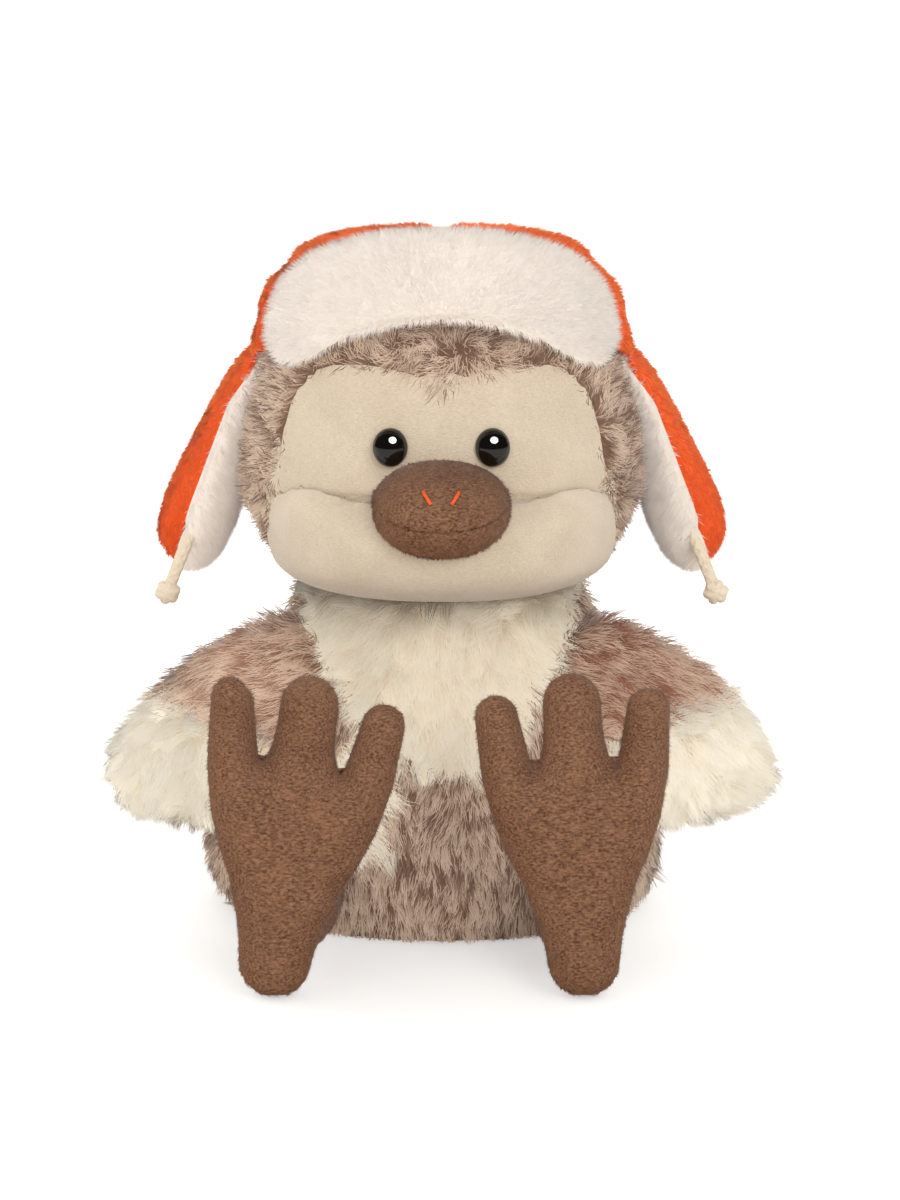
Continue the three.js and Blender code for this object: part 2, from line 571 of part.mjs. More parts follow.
const hat = frame(head, [0, 0, 0]);
const crownForm = stuffedBall({ width: HAT_HALF_WIDTH, depth: HAT_HALF_DEPTH, up: HAT_UP, down: HEAD_DOWN,
  plan: 2.3, side: 4.1, around: 24, rings: 14 }).translate(0, HAT_BACK, 0);
const rimTilt = rad(HAT_RIM_TILT);
const crownClear = beyond(solid(grown(crownForm, GAP)), [0, Math.sin(rimTilt), Math.cos(rimTilt)],
  HAT_RIM * Math.cos(rimTilt) - GAP);

function buildHat() {
  const shell = solid(crownForm).subtract(solid(grown(crownForm, -HAT_CLOTH))).subtract(headClear);
  const above = beyond(shell, [0, Math.sin(rimTilt), Math.cos(rimTilt)], HAT_RIM * Math.cos(rimTilt));
  add(hat, "hat_crown", above, hatOrange);

  const middle = new THREE.Vector2(...BRIM_MIDDLE);
  const brim = pillow(smoothOutline(BRIM_OUTLINE, 1, 36), middle, BRIM_HALF_THICKNESS, { rings: 4, fullness: 2.8 });
  const lowEdge = BRIM_OUTLINE[0][1];
  const { position } = brim.attributes;
  for (let i = 0; i < position.count; i++) {
    const x = position.getX(i);
    const bend = (x * x) / (2 * BRIM_CURVE);
    const lean = (position.getZ(i) - lowEdge) * Math.tan(rad(BRIM_LEAN));
    position.setY(i, position.getY(i) - BRIM_FORWARD + bend + lean);
  }
  add(hat, "hat_brim", solid(brim).subtract(crownClear).subtract(headClear), furWhite);
}

// Ear flaps and their tie cords

function buildFlap(name, side) {
  const [out, back, up] = FLAP_ROOT;
  const flap = frame(hat, [side * out, back, up], [0, -side * FLAP_FLARE, -side * 90]);
  const middle = new THREE.Vector2(side * FLAP_MIDDLE[0], FLAP_MIDDLE[1]);
  const pad = pillow(smoothOutline(FLAP_OUTLINE, side, 24), middle, FLAP_HALF_THICKNESS, { rings: 4, fullness: 2.6 });
  const { position } = pad.attributes;
  for (let i = 0; i < position.count; i++) {
    const below = -position.getZ(i) / FLAP_FULL;
    position.setY(i, position.getY(i) * (FLAP_TAPER + (1 - FLAP_TAPER) * below));
  }
  const route = CORD_ROUTE.map(([x, y, z]) => new THREE.Vector3(side * x, y, z));
  const cord = tube(route, CORD_DIAMETER, 6);
  const cordRoom = solid(grown(cord, GAP));
  const body = seen(headClear.add(crownClear), head, flap);
  const whole = solid(pad).subtract(body).subtract(cordRoom);
  add(flap, `ear_flap_outer_${name}`, beyond(whole, [0, 1, 0], GAP / 2), hatOrange);
  add(flap, `ear_flap_lining_${name}`, beyond(whole, [0, -1, 0], GAP / 2), furWhite);
  add(flap, `cord_${name}`, solid(cord), cordCotton);

  const end = route[route.length - 1];
  const knot = stuffedBall({ width: KNOT_DIAMETER / 2, depth: KNOT_DIAMETER / 2, up: KNOT_HEIGHT / 2,
    plan: 2.4, side: 2.4, around: 10, rings: 6 }).translate(end.x, end.y, end.z);
  add(flap, `cord_knot_${name}`, solid(knot).subtract(cordRoom), cordCotton);
}

buildTorso();
buildHead();
buildCheeks();
buildBeak();
buildTail();
buildHat();
for (const [name, side, heel, toeIn] of [
  ["left", 1, LEFT_HEEL, LEFT_TOE_IN],
  ["right", -1, RIGHT_HEEL, RIGHT_TOE_IN],
]) {
  buildWing(name, side);
  buildLeg(name, side, heel, toeIn);
  buildFlap(name, side);
}

export default sparrow;
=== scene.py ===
import math

import bpy
import numpy as np
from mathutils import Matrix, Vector
from mathutils.bvhtree import BVHTree
from mathutils.kdtree import KDTree


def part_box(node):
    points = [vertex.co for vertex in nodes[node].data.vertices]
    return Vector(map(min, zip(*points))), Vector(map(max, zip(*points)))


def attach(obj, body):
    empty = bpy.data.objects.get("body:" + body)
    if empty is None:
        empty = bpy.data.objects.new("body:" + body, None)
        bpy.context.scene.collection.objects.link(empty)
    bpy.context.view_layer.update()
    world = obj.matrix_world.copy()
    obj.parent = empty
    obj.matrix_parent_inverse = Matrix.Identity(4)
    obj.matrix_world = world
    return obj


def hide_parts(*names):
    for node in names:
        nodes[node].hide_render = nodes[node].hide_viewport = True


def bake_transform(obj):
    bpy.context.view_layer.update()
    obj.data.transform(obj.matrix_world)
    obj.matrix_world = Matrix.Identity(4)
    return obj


# A plush sparrow in an orange hat with ear flaps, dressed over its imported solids.
# Metres, +Z up, and it looks along -Y. Left is the toy's own left, at +X.
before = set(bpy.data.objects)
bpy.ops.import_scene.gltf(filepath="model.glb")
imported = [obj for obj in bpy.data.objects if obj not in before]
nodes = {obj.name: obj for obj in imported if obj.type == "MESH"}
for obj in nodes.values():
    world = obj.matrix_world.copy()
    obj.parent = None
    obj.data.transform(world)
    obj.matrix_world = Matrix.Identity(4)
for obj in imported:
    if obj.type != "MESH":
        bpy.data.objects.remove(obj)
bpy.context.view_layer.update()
scene = bpy.context.scene
MM = 0.001
SIDES = {"left": 1, "right": -1}

# View: the photograph's frame, and the camera that fits it
PHOTO_HEIGHT = 1200
FOCAL_PIXELS = 4062
SENSOR = 36
VIEW_CENTRE = Vector((2.6, 0, 98.8)) * MM
VIEW_DISTANCE = 1300 * MM
VIEW_ELEVATION = math.radians(12)

# Light: the world's level, and each lamp's place and size in metres and its power in watts
AMBIENT = 0.6
MIRRORED_AMBIENT = 0.07
LAMPS = [((0.6, -1.5, 1.0), 0.9, 13), ((-1.1, -1.2, 0.75), 1.6, 6), ((0.1, 1.0, 1.3), 1.2, 8),
         ((-1.3, 0.5, 0.5), 1.2, 8), ((1.3, 0.5, 0.5), 1.2, 3)]
EYE_LIGHT = Vector((0.3, -1.0, 1.15))
EYE_LIGHT_SIZE = (1.2, 0.95)
EYE_LIGHT_POWER = 110

# Places and sizes from the part's source, in millimetres. The cord's points are as in flap_place.
FLAP_ROOT = (55, -1, 186)
FLAP_FLARE = math.radians(21)
HAT_RIM = 34
HAT_RIM_TILT = math.radians(21)
HAT_RIM_NORMAL = np.array((0, math.sin(HAT_RIM_TILT), math.cos(HAT_RIM_TILT)))
FOOT_PLANE = -106
CORD_DIAMETER = 4
CORD_ROUTE = [(13, 0, -57), (17, 0, -61.5), (20.3, 0.2, -66.5), (22.8, 0.4, -72), (24.1, 0.5, -78),
              (24.4, 0.5, -85)]

# Sewing, in millimetres
CORD_PLAIT = 3.2
KNOT_PLAIT = 3
KNOT_TILTS = (0.2, 1.25, 2.3)
NOSTRIL_LENGTH = 5.4
THREAD_DIAMETER = 0.45
THREAD_TWIST = 1.2


def srgb(red, green, blue):
    """A screen colour, each part from 0 to 255, as linear light."""
    parts = [c / 255 for c in (red, green, blue)]
    return (*(((c + 0.055) / 1.055) ** 2.4 if c > 0.04045 else c / 12.92 for c in parts), 1)


# Materials


class Field:
    """A socket in a material's tree. Arithmetic on it adds Math nodes."""

    def __init__(self, finish, socket):
        self.finish = finish
        self.socket = socket

    def math(self, operation, *values):
        return self.finish.node("Math", {"operation": operation}, dict(enumerate(values)))

    def __add__(self, other):
        return self.math("ADD", self, other)

    def __sub__(self, other):
        return self.math("SUBTRACT", self, other)

    def __mul__(self, other):
        return self.math("MULTIPLY", self, other)


class Finish:
    """A material under construction round one Principled shader."""

    def __init__(self, name, even):
        self.material = bpy.data.materials.new(name)
        self.material.use_nodes = True
        self.tree = self.material.node_tree
        self.shader = self.tree.nodes["Principled BSDF"]
        for socket, value in even.items():
            self.shader.inputs[socket].default_value = value

    def node(self, kind, settings=None, inputs=None, output=0):
        node = self.tree.nodes.new("ShaderNode" + kind)
        for name, value in (settings or {}).items():
            if name == "stops":
                for element, stop in zip(node.color_ramp.elements, value):
                    element.position, element.color = stop
            else:
                setattr(node, name, value)
        for key, value in (inputs or {}).items():
            self.feed(node.inputs[key], value)
        return Field(self, node.outputs[output])

    def feed(self, socket, value):
        if isinstance(value, Field):
            self.tree.links.new(value.socket, socket)
        else:
            socket.default_value = value

    def drive(self, socket, field):
        self.feed(self.shader.inputs[socket], field)

    def mix(self, share, first, second):
        return self.node("Mix", {"data_type": "RGBA"}, {0: share, 6: first, 7: second}, output=2)

    def colour(self, share, deep, bright):
        self.drive("Base Color", self.mix(share, srgb(*deep), srgb(*bright)))

    def noise(self, scale, detail=2, stretch=(1, 1, 1)):
        place = self.node("TexCoord", output="Object")
        place = self.node("Mapping", inputs={"Vector": place, "Scale": stretch})
        return self.node("TexNoise", inputs={"Vector": place, "Scale": scale, "Detail": detail}, output="Fac")

    def bump(self, field, height):
        """Raises the surface with a field, by up to a height in millimetres."""
        raised = {"Height": field, "Distance": height * MM}
        self.drive("Normal", self.node("Bump", inputs=raised, output="Normal"))


def fur_finish(name, *colours, sheen=0.15):
    """Fur, in the root and tip colours of its dark and of its light strands. Their map holds their tone."""
    finish = Finish(name, {"Roughness": 0.8, "Specular IOR Level": 0.1, "Sheen Weight": sheen,
                           "Sheen Roughness": 0.5})
    strand = finish.node("UVMap", {"uv_map": "OFBake"})
    tone, along = (finish.node("SeparateXYZ", inputs={0: strand}, output=axis) for axis in "XY")
    colours = [srgb(*colour) for colour in colours]
    # Painted shade: the roots are darker than the tips, partly the fur's own colour and partly the shade deep
    # in the pile, as the strands cast no shadow.
    dark, light = (finish.node("ValToRGB", {"stops": zip((0.05, 0.85), ends)}, {"Fac": along})
                   for ends in (colours[:2], colours[2:]))
    finish.drive("Base Color", finish.mix(tone, dark, light))
    return finish.material


def backing_finish(name, deep, bright):
    """The cloth that pile stands on, mottled as the gaps in the pile show it."""
    finish = Finish(name, {"Roughness": 0.95, "Specular IOR Level": 0.1})
    finish.colour(finish.noise(160, detail=4), deep, bright)
    finish.bump(finish.noise(900), 0.4)
    return finish.material


def plush_finish(name, deep, bright):
    """Short plush: a fine wavy nap with dark gaps, which are painted shade in the nap, and broad patches
    where it is turned.
    """
    finish = Finish(name, {"Roughness": 0.95, "Specular IOR Level": 0.1})
    nap = finish.noise(1700, stretch=(0.5, 1, 1))
    patch = finish.noise(75)
    finish.colour(nap * 2.6 + patch * 0.5 - 1.05, deep, bright)
    finish.bump(nap, 0.5)
    return finish.material


def nap_finish(name, deep, bright):
    """Short brushed nap: fine fibres that lie aslant, with soft patches where the nap is turned."""
    finish = Finish(name, {"Roughness": 0.9, "Specular IOR Level": 0.12, "Sheen Weight": 0.35,
                           "Sheen Roughness": 0.6})
    fibre = finish.noise(2600, detail=3, stretch=(0.35, 1, 1))
    patch = finish.noise(70, detail=3)
    finish.colour(fibre * 0.8 + patch * 0.45 - 0.125, deep, bright)
    finish.bump(fibre, 0.4)
    return finish.material


def grained_finish(name, deep, bright, even, scale, detail=2, height=0):
    """A colour that varies a little with a fine grain, which stands up by a height in millimetres."""
    finish = Finish(name, even)
    grain = finish.noise(scale, detail)
    finish.colour(grain, deep, bright)
    if height:
        finish.bump(grain, height)
    return finish.material


# Each root colour is darker than its tip colour: partly the fur's own colour, partly painted shade in the
# pile.
BROWN_FUR = fur_finish("brown fur", (82, 50, 34), (108, 70, 49), (170, 135, 108), (234, 208, 184))
WING_FUR = fur_finish("wing fur", (84, 46, 31), (148, 86, 57), (180, 136, 106), (244, 215, 189))
IVORY_FUR = fur_finish("ivory fur", (212, 190, 154), (233, 217, 189), (233, 215, 183), (254, 245, 226))
BAND_FUR = fur_finish("band fur", (230, 208, 170), (247, 233, 207), (243, 228, 199), (255, 249, 234))
WHITE_FUR = fur_finish("white fur", (222, 204, 188), (240, 227, 214), (236, 221, 207), (252, 244, 235))
BROWN_PILE = fur_finish("brown pile", (86, 53, 36), (104, 67, 47), (128, 88, 63), (150, 107, 79))
ORANGE_PILE = fur_finish("orange pile", (206, 60, 12), (238, 80, 20), (246, 92, 24), (255, 124, 52),
                         sheen=0.02)
BROWN_BACKING = backing_finish("brown backing", (92, 64, 48), (140, 108, 88))
IVORY_BACKING = backing_finish("ivory backing", (198, 180, 150), (222, 206, 180))
WHITE_BACKING = backing_finish("white backing", (228, 212, 197), (244, 232, 220))
ORANGE_BACKING = backing_finish("orange backing", (206, 62, 16), (238, 88, 30))
BROWN_PLUSH = plush_finish("brown plush", (86, 54, 37), (150, 108, 79))
CREAM_NAP = nap_finish("cream nap", (184, 163, 135), (238, 221, 197))
COTTON = grained_finish("twisted cotton", (206, 184, 152), (246, 232, 210),
                        {"Roughness": 0.9, "Specular IOR Level": 0.15, "Sheen Weight": 0.2}, 1800, 4, 0.2)
BEAD = grained_finish("black bead", (8, 6, 5), (16, 13, 11),
                      {"Roughness": 0.05, "Specular IOR Level": 0.5}, 90)
THREAD = grained_finish("orange thread", (214, 70, 14), (255, 108, 40),
                        {"Roughness": 0.6, "Specular IOR Level": 0.1}, 1500, height=0.1)
WASHER = grained_finish("washer plastic", (222, 220, 214), (238, 236, 230), {"Roughness": 0.45}, 600, 3)


# Meshes


def activate(piece):
    bpy.ops.object.select_all(action="DESELECT")
    piece.select_set(True)
    bpy.context.view_layer.objects.active = piece


def shape(piece, kind, **settings):
    """Adds a modifier and applies it."""
    activate(piece)
    modifier = piece.modifiers.new(kind.title(), kind)
    for name, value in settings.items():
        setattr(modifier, name, value)
    bpy.ops.object.modifier_apply(modifier=modifier.name)


def coordinates(piece, kind="co"):
    flat = np.empty(len(piece.data.vertices) * 3)
    piece.data.vertices.foreach_get(kind, flat)
    return flat.reshape(-1, 3)


def move_points(piece, points):
    piece.data.vertices.foreach_set("co", np.asarray(points, np.float32).ravel())
    piece.data.update()


def push(piece, axis, travel):
    """Moves the points of a piece along one axis, by what travel makes of x, y and z."""
    points = coordinates(piece)
    points[:, axis] += travel(*points.T)
    move_points(piece, points)


def ramp(values, start, end):
    """0 at start and 1 at end, in millimetres, and held beyond them."""
    return np.clip((values / MM - start) / (end - start), 0, 1)


def bell(values, middle, width):
    """1 at the middle, falling off over a width, in millimetres."""
    return np.exp(-(((values / MM - middle) / width) ** 2))


def smooth_shade(piece):
    activate(piece)
    bpy.ops.object.shade_smooth()


def added(name):
    """The primitive that was just added, with its name."""
    piece = bpy.context.object
    piece.name = piece.data.name = name
    return piece


def merge(piece):
    """Sews a piece together where its points meet."""
    activate(piece)
    bpy.ops.object.mode_set(mode="EDIT")
    bpy.ops.mesh.select_all(action="SELECT")
    bpy.ops.mesh.remove_doubles(threshold=0.01 * MM)
    bpy.ops.object.mode_set(mode="OBJECT")


def copy_of(name, source):
    """A new piece from a CAD solid."""
    piece = bpy.data.objects.new(name, nodes[source].data.copy())
    scene.collection.objects.link(piece)
    merge(piece)
    return piece


def globe(name, segments, rings):
    """A sphere of radius 1, from a grid, because the order of Blender's own changes from run to run."""
    bpy.ops.mesh.primitive_grid_add(x_subdivisions=segments, y_subdivisions=rings, size=2)
    piece = added(name)
    turn, tilt = (coordinates(piece)[:, :2] * (math.pi, math.pi / 2)).T
    wide = np.cos(tilt)
    move_points(piece, np.stack([np.cos(turn) * wide, np.sin(turn) * wide, np.sin(tilt)], axis=1))
    merge(piece)
    return piece


def join(name, pieces):
    activate(pieces[0])
    for piece in pieces:
        piece.select_set(True)
    bpy.ops.object.join()
    pieces[0].name = pieces[0].data.name = name
    return pieces[0]


def keep_only(piece, kept):
    """Deletes the other points of a piece."""
    activate(piece)
    bpy.ops.object.mode_set(mode="EDIT")
    bpy.ops.mesh.select_all(action="DESELECT")
    bpy.ops.object.mode_set(mode="OBJECT")
    piece.data.vertices.foreach_set("select", ~kept)
    bpy.ops.object.mode_set(mode="EDIT")
    bpy.ops.mesh.delete(type="VERT")
    bpy.ops.object.mode_set(mode="OBJECT")


def mesh_piece(name, points, faces, maps=None, normals=None):
    """A piece from arrays of points and triangles, with a map for each corner and a normal for each point."""
    mesh = bpy.data.meshes.new(name)
    mesh.vertices.add(len(points))
    mesh.vertices.foreach_set("co", np.asarray(points, np.float32).ravel())
    mesh.loops.add(faces.size)
    mesh.loops.foreach_set("vertex_index", faces.astype(np.int32).ravel())
    mesh.polygons.add(len(faces))
    mesh.polygons.foreach_set("loop_start", np.arange(0, faces.size, faces.shape[1], dtype=np.int32))
    mesh.polygons.foreach_set("use_smooth", np.ones(len(faces), bool))
    if maps is not None:
        mesh.uv_layers.new(name="OFBake").data.foreach_set("uv", maps.astype(np.float32).ravel())
    mesh.update(calc_edges=True)
    if normals is not None:
        mesh.normals_split_custom_set_from_vertices(normals)
    piece = bpy.data.objects.new(name, mesh)
    scene.collection.objects.link(piece)
    return piece


def dress(piece, material, slot, body=None, *solids):
    """Gives a piece its finish, the body it rides on, if it is one alone, and the CAD solids it replaces."""
    piece.data.materials.clear()
    piece.data.materials.append(material)
    if body:
        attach(piece, body)
    if solids:
        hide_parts(*solids)


def pad(piece, material, slot, body, fill, *solids, shadow=True):
    """Dresses a cloth over filling."""
    dress(piece, material, slot, body, *solids)
    piece.visible_shadow = shadow


# Stuffing

SIMULATION_SCALE = 12  # the cloth is simulated this much larger, at the size of a cushion
SIMULATION_STEPS = 20
PRESSURE = 4


def blow_up(piece, most):
    """Swells a closed piece as stuffed cloth does. No point moves further than most, in millimetres."""
    start = coordinates(piece)
    middle = start.mean(axis=0)
    move_points(piece, (start - middle) * SIMULATION_SCALE)
    cloth = piece.modifiers.new("Filling", "CLOTH")
    cloth.settings.use_pressure = True
    cloth.settings.uniform_pressure_force = PRESSURE
    cloth.settings.effector_weights.gravity = 0
    cloth.point_cache.frame_end = SIMULATION_STEPS
    for step in range(1, SIMULATION_STEPS + 1):
        scene.frame_set(step)
    swollen = coordinates(piece.evaluated_get(bpy.context.evaluated_depsgraph_get()))
    piece.modifiers.remove(cloth)
    scene.frame_set(1)
    travel = swollen / SIMULATION_SCALE + middle - start
    length = np.linalg.norm(travel, axis=1, keepdims=True)
    move_points(piece, start + travel * np.minimum(1, most * MM / np.maximum(length, 1e-9)))


def stuffed(name, source, voxel, smoothing=6, swell=0):
    """A stuffed piece from a CAD solid: meshed evenly, smoothed, and blown up as cloth."""
    piece = copy_of(name, source)
    shape(piece, "REMESH", mode="VOXEL", voxel_size=voxel * MM)
    shape(piece, "SMOOTH", factor=0.5, iterations=smoothing)
    if swell:
        blow_up(piece, swell)
    smooth_shade(piece)
    return piece


def nearest(source, points):
    """The place on a CAD solid that is nearest to each point, and its distance."""
    mesh = nodes[source].data
    solid = BVHTree.FromPolygons([v.co for v in mesh.vertices], [tuple(p.vertices) for p in mesh.polygons])
    found = [solid.find_nearest(point) for point in map(Vector, points)]
    return np.array([row[0] for row in found]), np.array([row[3] for row in found])


def shrink(piece, amount):
    """Draws a cloth in by the height of the pile that stands on it."""
    move_points(piece, coordinates(piece) - coordinates(piece, "normal") * amount * MM)


def outline(solid, plane):
    """The section of a CAD solid across Y, as pairs of (x, z) ends."""
    points = coordinates(solid)
    pairs = []
    for face in solid.data.polygons:
        corners = points[list(face.vertices)]
        sides = zip(corners, np.roll(corners, -1, axis=0))
        cuts = [a + (b - a) * (plane - a[1]) / (b[1] - a[1]) for a, b in sides
                if (a[1] - plane) * (b[1] - plane) < 0]
        if len(cuts) == 2:
            pairs.append(cuts)
    return np.array(pairs)[:, :, (0, 2)]


def to_outline(places, edges):
    """The point of an outline that is nearest to each place, and whether the place is inside."""
    start = edges[:, 0]
    step = edges[:, 1] - start
    share = ((places[:, None] - start) * step).sum(axis=2) / np.maximum((step**2).sum(axis=1), 1e-18)
    near = start + np.clip(share, 0, 1)[..., None] * step
    best = np.linalg.norm(places[:, None] - near, axis=2).argmin(axis=1)
    height = places[:, 1:]
    spans = (start[:, 1] > height) != (start[:, 1] + step[:, 1] > height)
    rise = np.where(step[:, 1] == 0, 1e-18, step[:, 1])
    ahead = start[:, 0] + step[:, 0] * (height - start[:, 1]) / rise > places[:, :1]
    return near[np.arange(len(places)), best], (spans & ahead).sum(axis=1) % 2 == 1


def pillow(name, source, plane, half, inset, reach, step):
    """A flat stuffed pad: a grid cut to a CAD solid's edge seam, domed and mirrored."""
    low, high = (np.array(corner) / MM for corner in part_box(source))
    middle = ((low + high) / 2)[[0, 2]]
    room = (high - low)[[0, 2]] + 4 * step
    across, up = (int(size / step) for size in room)
    bpy.ops.mesh.primitive_grid_add(x_subdivisions=across, y_subdivisions=up, size=1)
    piece = added(name)
    places = middle + coordinates(piece)[:, :2] * room
    near, inside = to_outline(places, outline(nodes[source], (plane + 0.02) * MM) / MM)
    inward = (places - near) * np.where(inside, 1, -1)[:, None]
    depth = np.linalg.norm(inward, axis=1) * np.where(inside, 1, -1) - inset
    border = np.zeros(len(places), bool)
    for face in piece.data.polygons:
        corners = list(face.vertices)
        if (depth[corners] > 0).any():
            border[corners] |= depth[corners] <= 0
    places[border] = near[border] + unit(inward[border]) * inset
    dome = half * np.sqrt(1 - (1 - np.clip(depth / reach, 0, 1)) ** 2)
    move_points(piece, np.stack([places[:, 0], -dome, places[:, 1]], axis=1) * MM)
    keep_only(piece, border | (depth > 0))
    shape(piece, "MIRROR", use_axis=(False, True, False), merge_threshold=0.01 * MM)
    move_points(piece, coordinates(piece) + (0, plane * MM, 0))
    smooth_shade(piece)
    return piece


class Ball:
    """The rounded form that a stuffed head, cheek, beak or crown is cut from, as in the part's source."""

    def __init__(self, centre, width, depth, up, down, plan, side):
        self.centre = np.array(centre) * MM
        self.half = np.array((width, depth, up)) * MM
        self.down = down * MM
        self.plan = plan
        self.side = side

    def level(self, points):
        """1 on the form's skin, less inside and more outside, but never 0."""
        local = points - self.centre
        tall = np.where(local[:, 2] > 0, self.half[2], self.down)
        x, y = (np.abs(local[:, i]) / self.half[i] for i in (0, 1))
        flat = (x**self.plan + y**self.plan) ** (1 / self.plan)
        level = (flat**self.side + (np.abs(local[:, 2]) / tall) ** self.side) ** (1 / self.side)
        return np.maximum(level, 1e-6)

    def depth(self, points):
        """How far points stand out of the skin, along the line from the middle."""
        return np.linalg.norm(points - self.centre, axis=1) * (1 - 1 / self.level(points))

    def onto(self, points):
        return self.centre + (points - self.centre) / self.level(points)[:, None]

    def round_off(self, piece, near):
        """Lays the points of a piece that are near the skin on it, so that no facet shows."""
        points = coordinates(piece)
        close = np.abs(self.depth(points)) < near * MM
        points[close] = self.onto(points[close])
        move_points(piece, points)

    def panel(self, name, source, segments, rings, thickness, hem):
        """A panel of the form's skin: the part that lies over a CAD solid, and a hem beyond it."""
        piece = globe(name, segments, rings)
        points = self.onto(self.centre + coordinates(piece) * self.half)
        edge = self.onto(nearest(source, points)[0])
        inside = np.linalg.norm(points - edge, axis=1) < hem * MM
        border = np.zeros(len(points), bool)
        for line in piece.data.edges:
            a, b = line.vertices
            if inside[a] != inside[b]:
                border[a if inside[b] else b] = True
        points[border] = self.onto(edge[border] + unit(points[border] - edge[border]) * hem * MM)
        move_points(piece, points)
        keep_only(piece, inside | border)
        shape(piece, "SOLIDIFY", thickness=thickness * MM, offset=-1)
        smooth_shade(piece)
        return piece


HEAD = Ball((0, -4, 148), 61, 52, 63, 55, 2.3, 2.2)
CHEEK = Ball((0, -19, 127), 55, 50, 21, 21, 2.4, 2.2)
FULL_CHEEK = Ball((0, -19, 127), 55, 50, 21, 20.4, 2.4, 2.75)
BEAK = Ball((0, -59, 139.7), 21, 26, 14.5, 14.5, 2.2, 2.1)
CROWN = Ball((0, -1, 148), 60.5, 55, 69, 55, 2.3, 4.1)


# Fur

LATTICE = np.random.default_rng(11).random((64, 64, 64))


def mottle(points, size):
    """Soft noise from 0 to 1, in patches of about that size."""
    cell = points / (size * MM)
    low = np.floor(cell).astype(int)
    part = cell - low
    part = part * part * (3 - 2 * part)
    total = np.zeros(len(points))
    for corner in np.ndindex(2, 2, 2):
        share = np.prod(np.where(corner, part, 1 - part), axis=1)
        total += share * LATTICE[tuple(((low + corner) % len(LATTICE)).T)]
    return total


def unit(vectors):
    return vectors / np.maximum(np.linalg.norm(vectors, axis=1, keepdims=True), 1e-12)


def scatter(piece, density, rng, keep):
    """Random points and their normals, at so many to the square millimetre of the faces that keep allows."""
    mesh = piece.data
    mesh.calc_loop_triangles()
    corners = np.empty(len(mesh.loop_triangles) * 3, np.int32)
    mesh.loop_triangles.foreach_get("vertices", corners)
    corners = corners.reshape(-1, 3)
    points = coordinates(piece)
    normals = coordinates(piece, "normal")
    middles = points[corners].mean(axis=1)
    facing = unit(normals[corners].mean(axis=1))
    corners = corners[keep(middles, facing)] if keep else corners
    a, b, c = (points[corners[:, i]] for i in range(3))
    areas = np.linalg.norm(np.cross(b - a, c - a), axis=1) / 2
    count = int(density * areas.sum() / MM**2)
    chosen = corners[rng.choice(len(corners), count, p=areas / areas.sum())]
    shares = rng.dirichlet((1, 1, 1), count)
    place = (points[chosen] * shares[:, :, None]).sum(axis=1)
    return place, unit((normals[chosen] * shares[:, :, None]).sum(axis=1))


def even_tone(roots, tuft, strand):
    return 0.2 + 0.3 * tuft + 0.5 * strand


def speckled_tone(roots, tuft, strand, dark=0.49):
    """Frosted fur: most tufts are pale, some are dark, and both gather in patches."""
    patch = mottle(roots, 11)
    pale = 1 / (1 + np.exp(-18 * (0.75 * tuft + 0.2 * patch + 0.2 * strand - dark)))
    return 0.02 + 0.84 * pale + 0.14 * strand


def flecked_tone(roots, tuft, strand):
    """Short plush: fine flecks where the nap is pressed, the dark ones painted shade in its small wrinkles,
    and broad patches where the nap is turned.
    """
    fleck = mottle(roots * (0.55, 1, 1), 1.1)
    return 0.5 + 1.9 * (fleck - 0.5) + 0.4 * (mottle(roots, 13) - 0.5) + 0.2 * (strand - 0.5)


# A strand is a closed spindle: a root, three points round its bend, and a tip. Pile is a spike on three
# points. Each has its faces, and where its points are in its map: along it, and a sliver across it.
STRAND = (np.array([(2, 1, 0), (3, 2, 0), (1, 3, 0), (1, 2, 4), (2, 3, 4), (3, 1, 4)]),
          np.array([0.02, 0.5, 0.5, 0.5, 0.98]), np.array([1, 0, 1, 2, 1]) * 0.012)
PILE = (np.array([(0, 2, 1), (0, 1, 3), (1, 2, 3), (2, 0, 3)]),
        np.array([0.02, 0.02, 0.02, 0.98]), np.array([0, 1, 2, 1]) * 0.012)
SWIRL_SIZE = 14
ROOT_DEPTH = 0.5
FLOOR_CLEARANCE = 0.4


def ring(middle, along, radius):
    """Three points round each middle, square to its direction."""
    aside = unit(np.cross(along, np.where(np.abs(along[:, 2:]) > 0.9, (1, 0, 0), (0, 0, 1))))
    ahead = np.cross(along, aside)
    angles = np.arange(3) * 2 * math.pi / 3
    spokes = aside[:, None] * np.cos(angles)[:, None] + ahead[:, None] * np.sin(angles)[:, None]
    return middle[:, None] + spokes * np.reshape(radius, (-1, 1, 1))


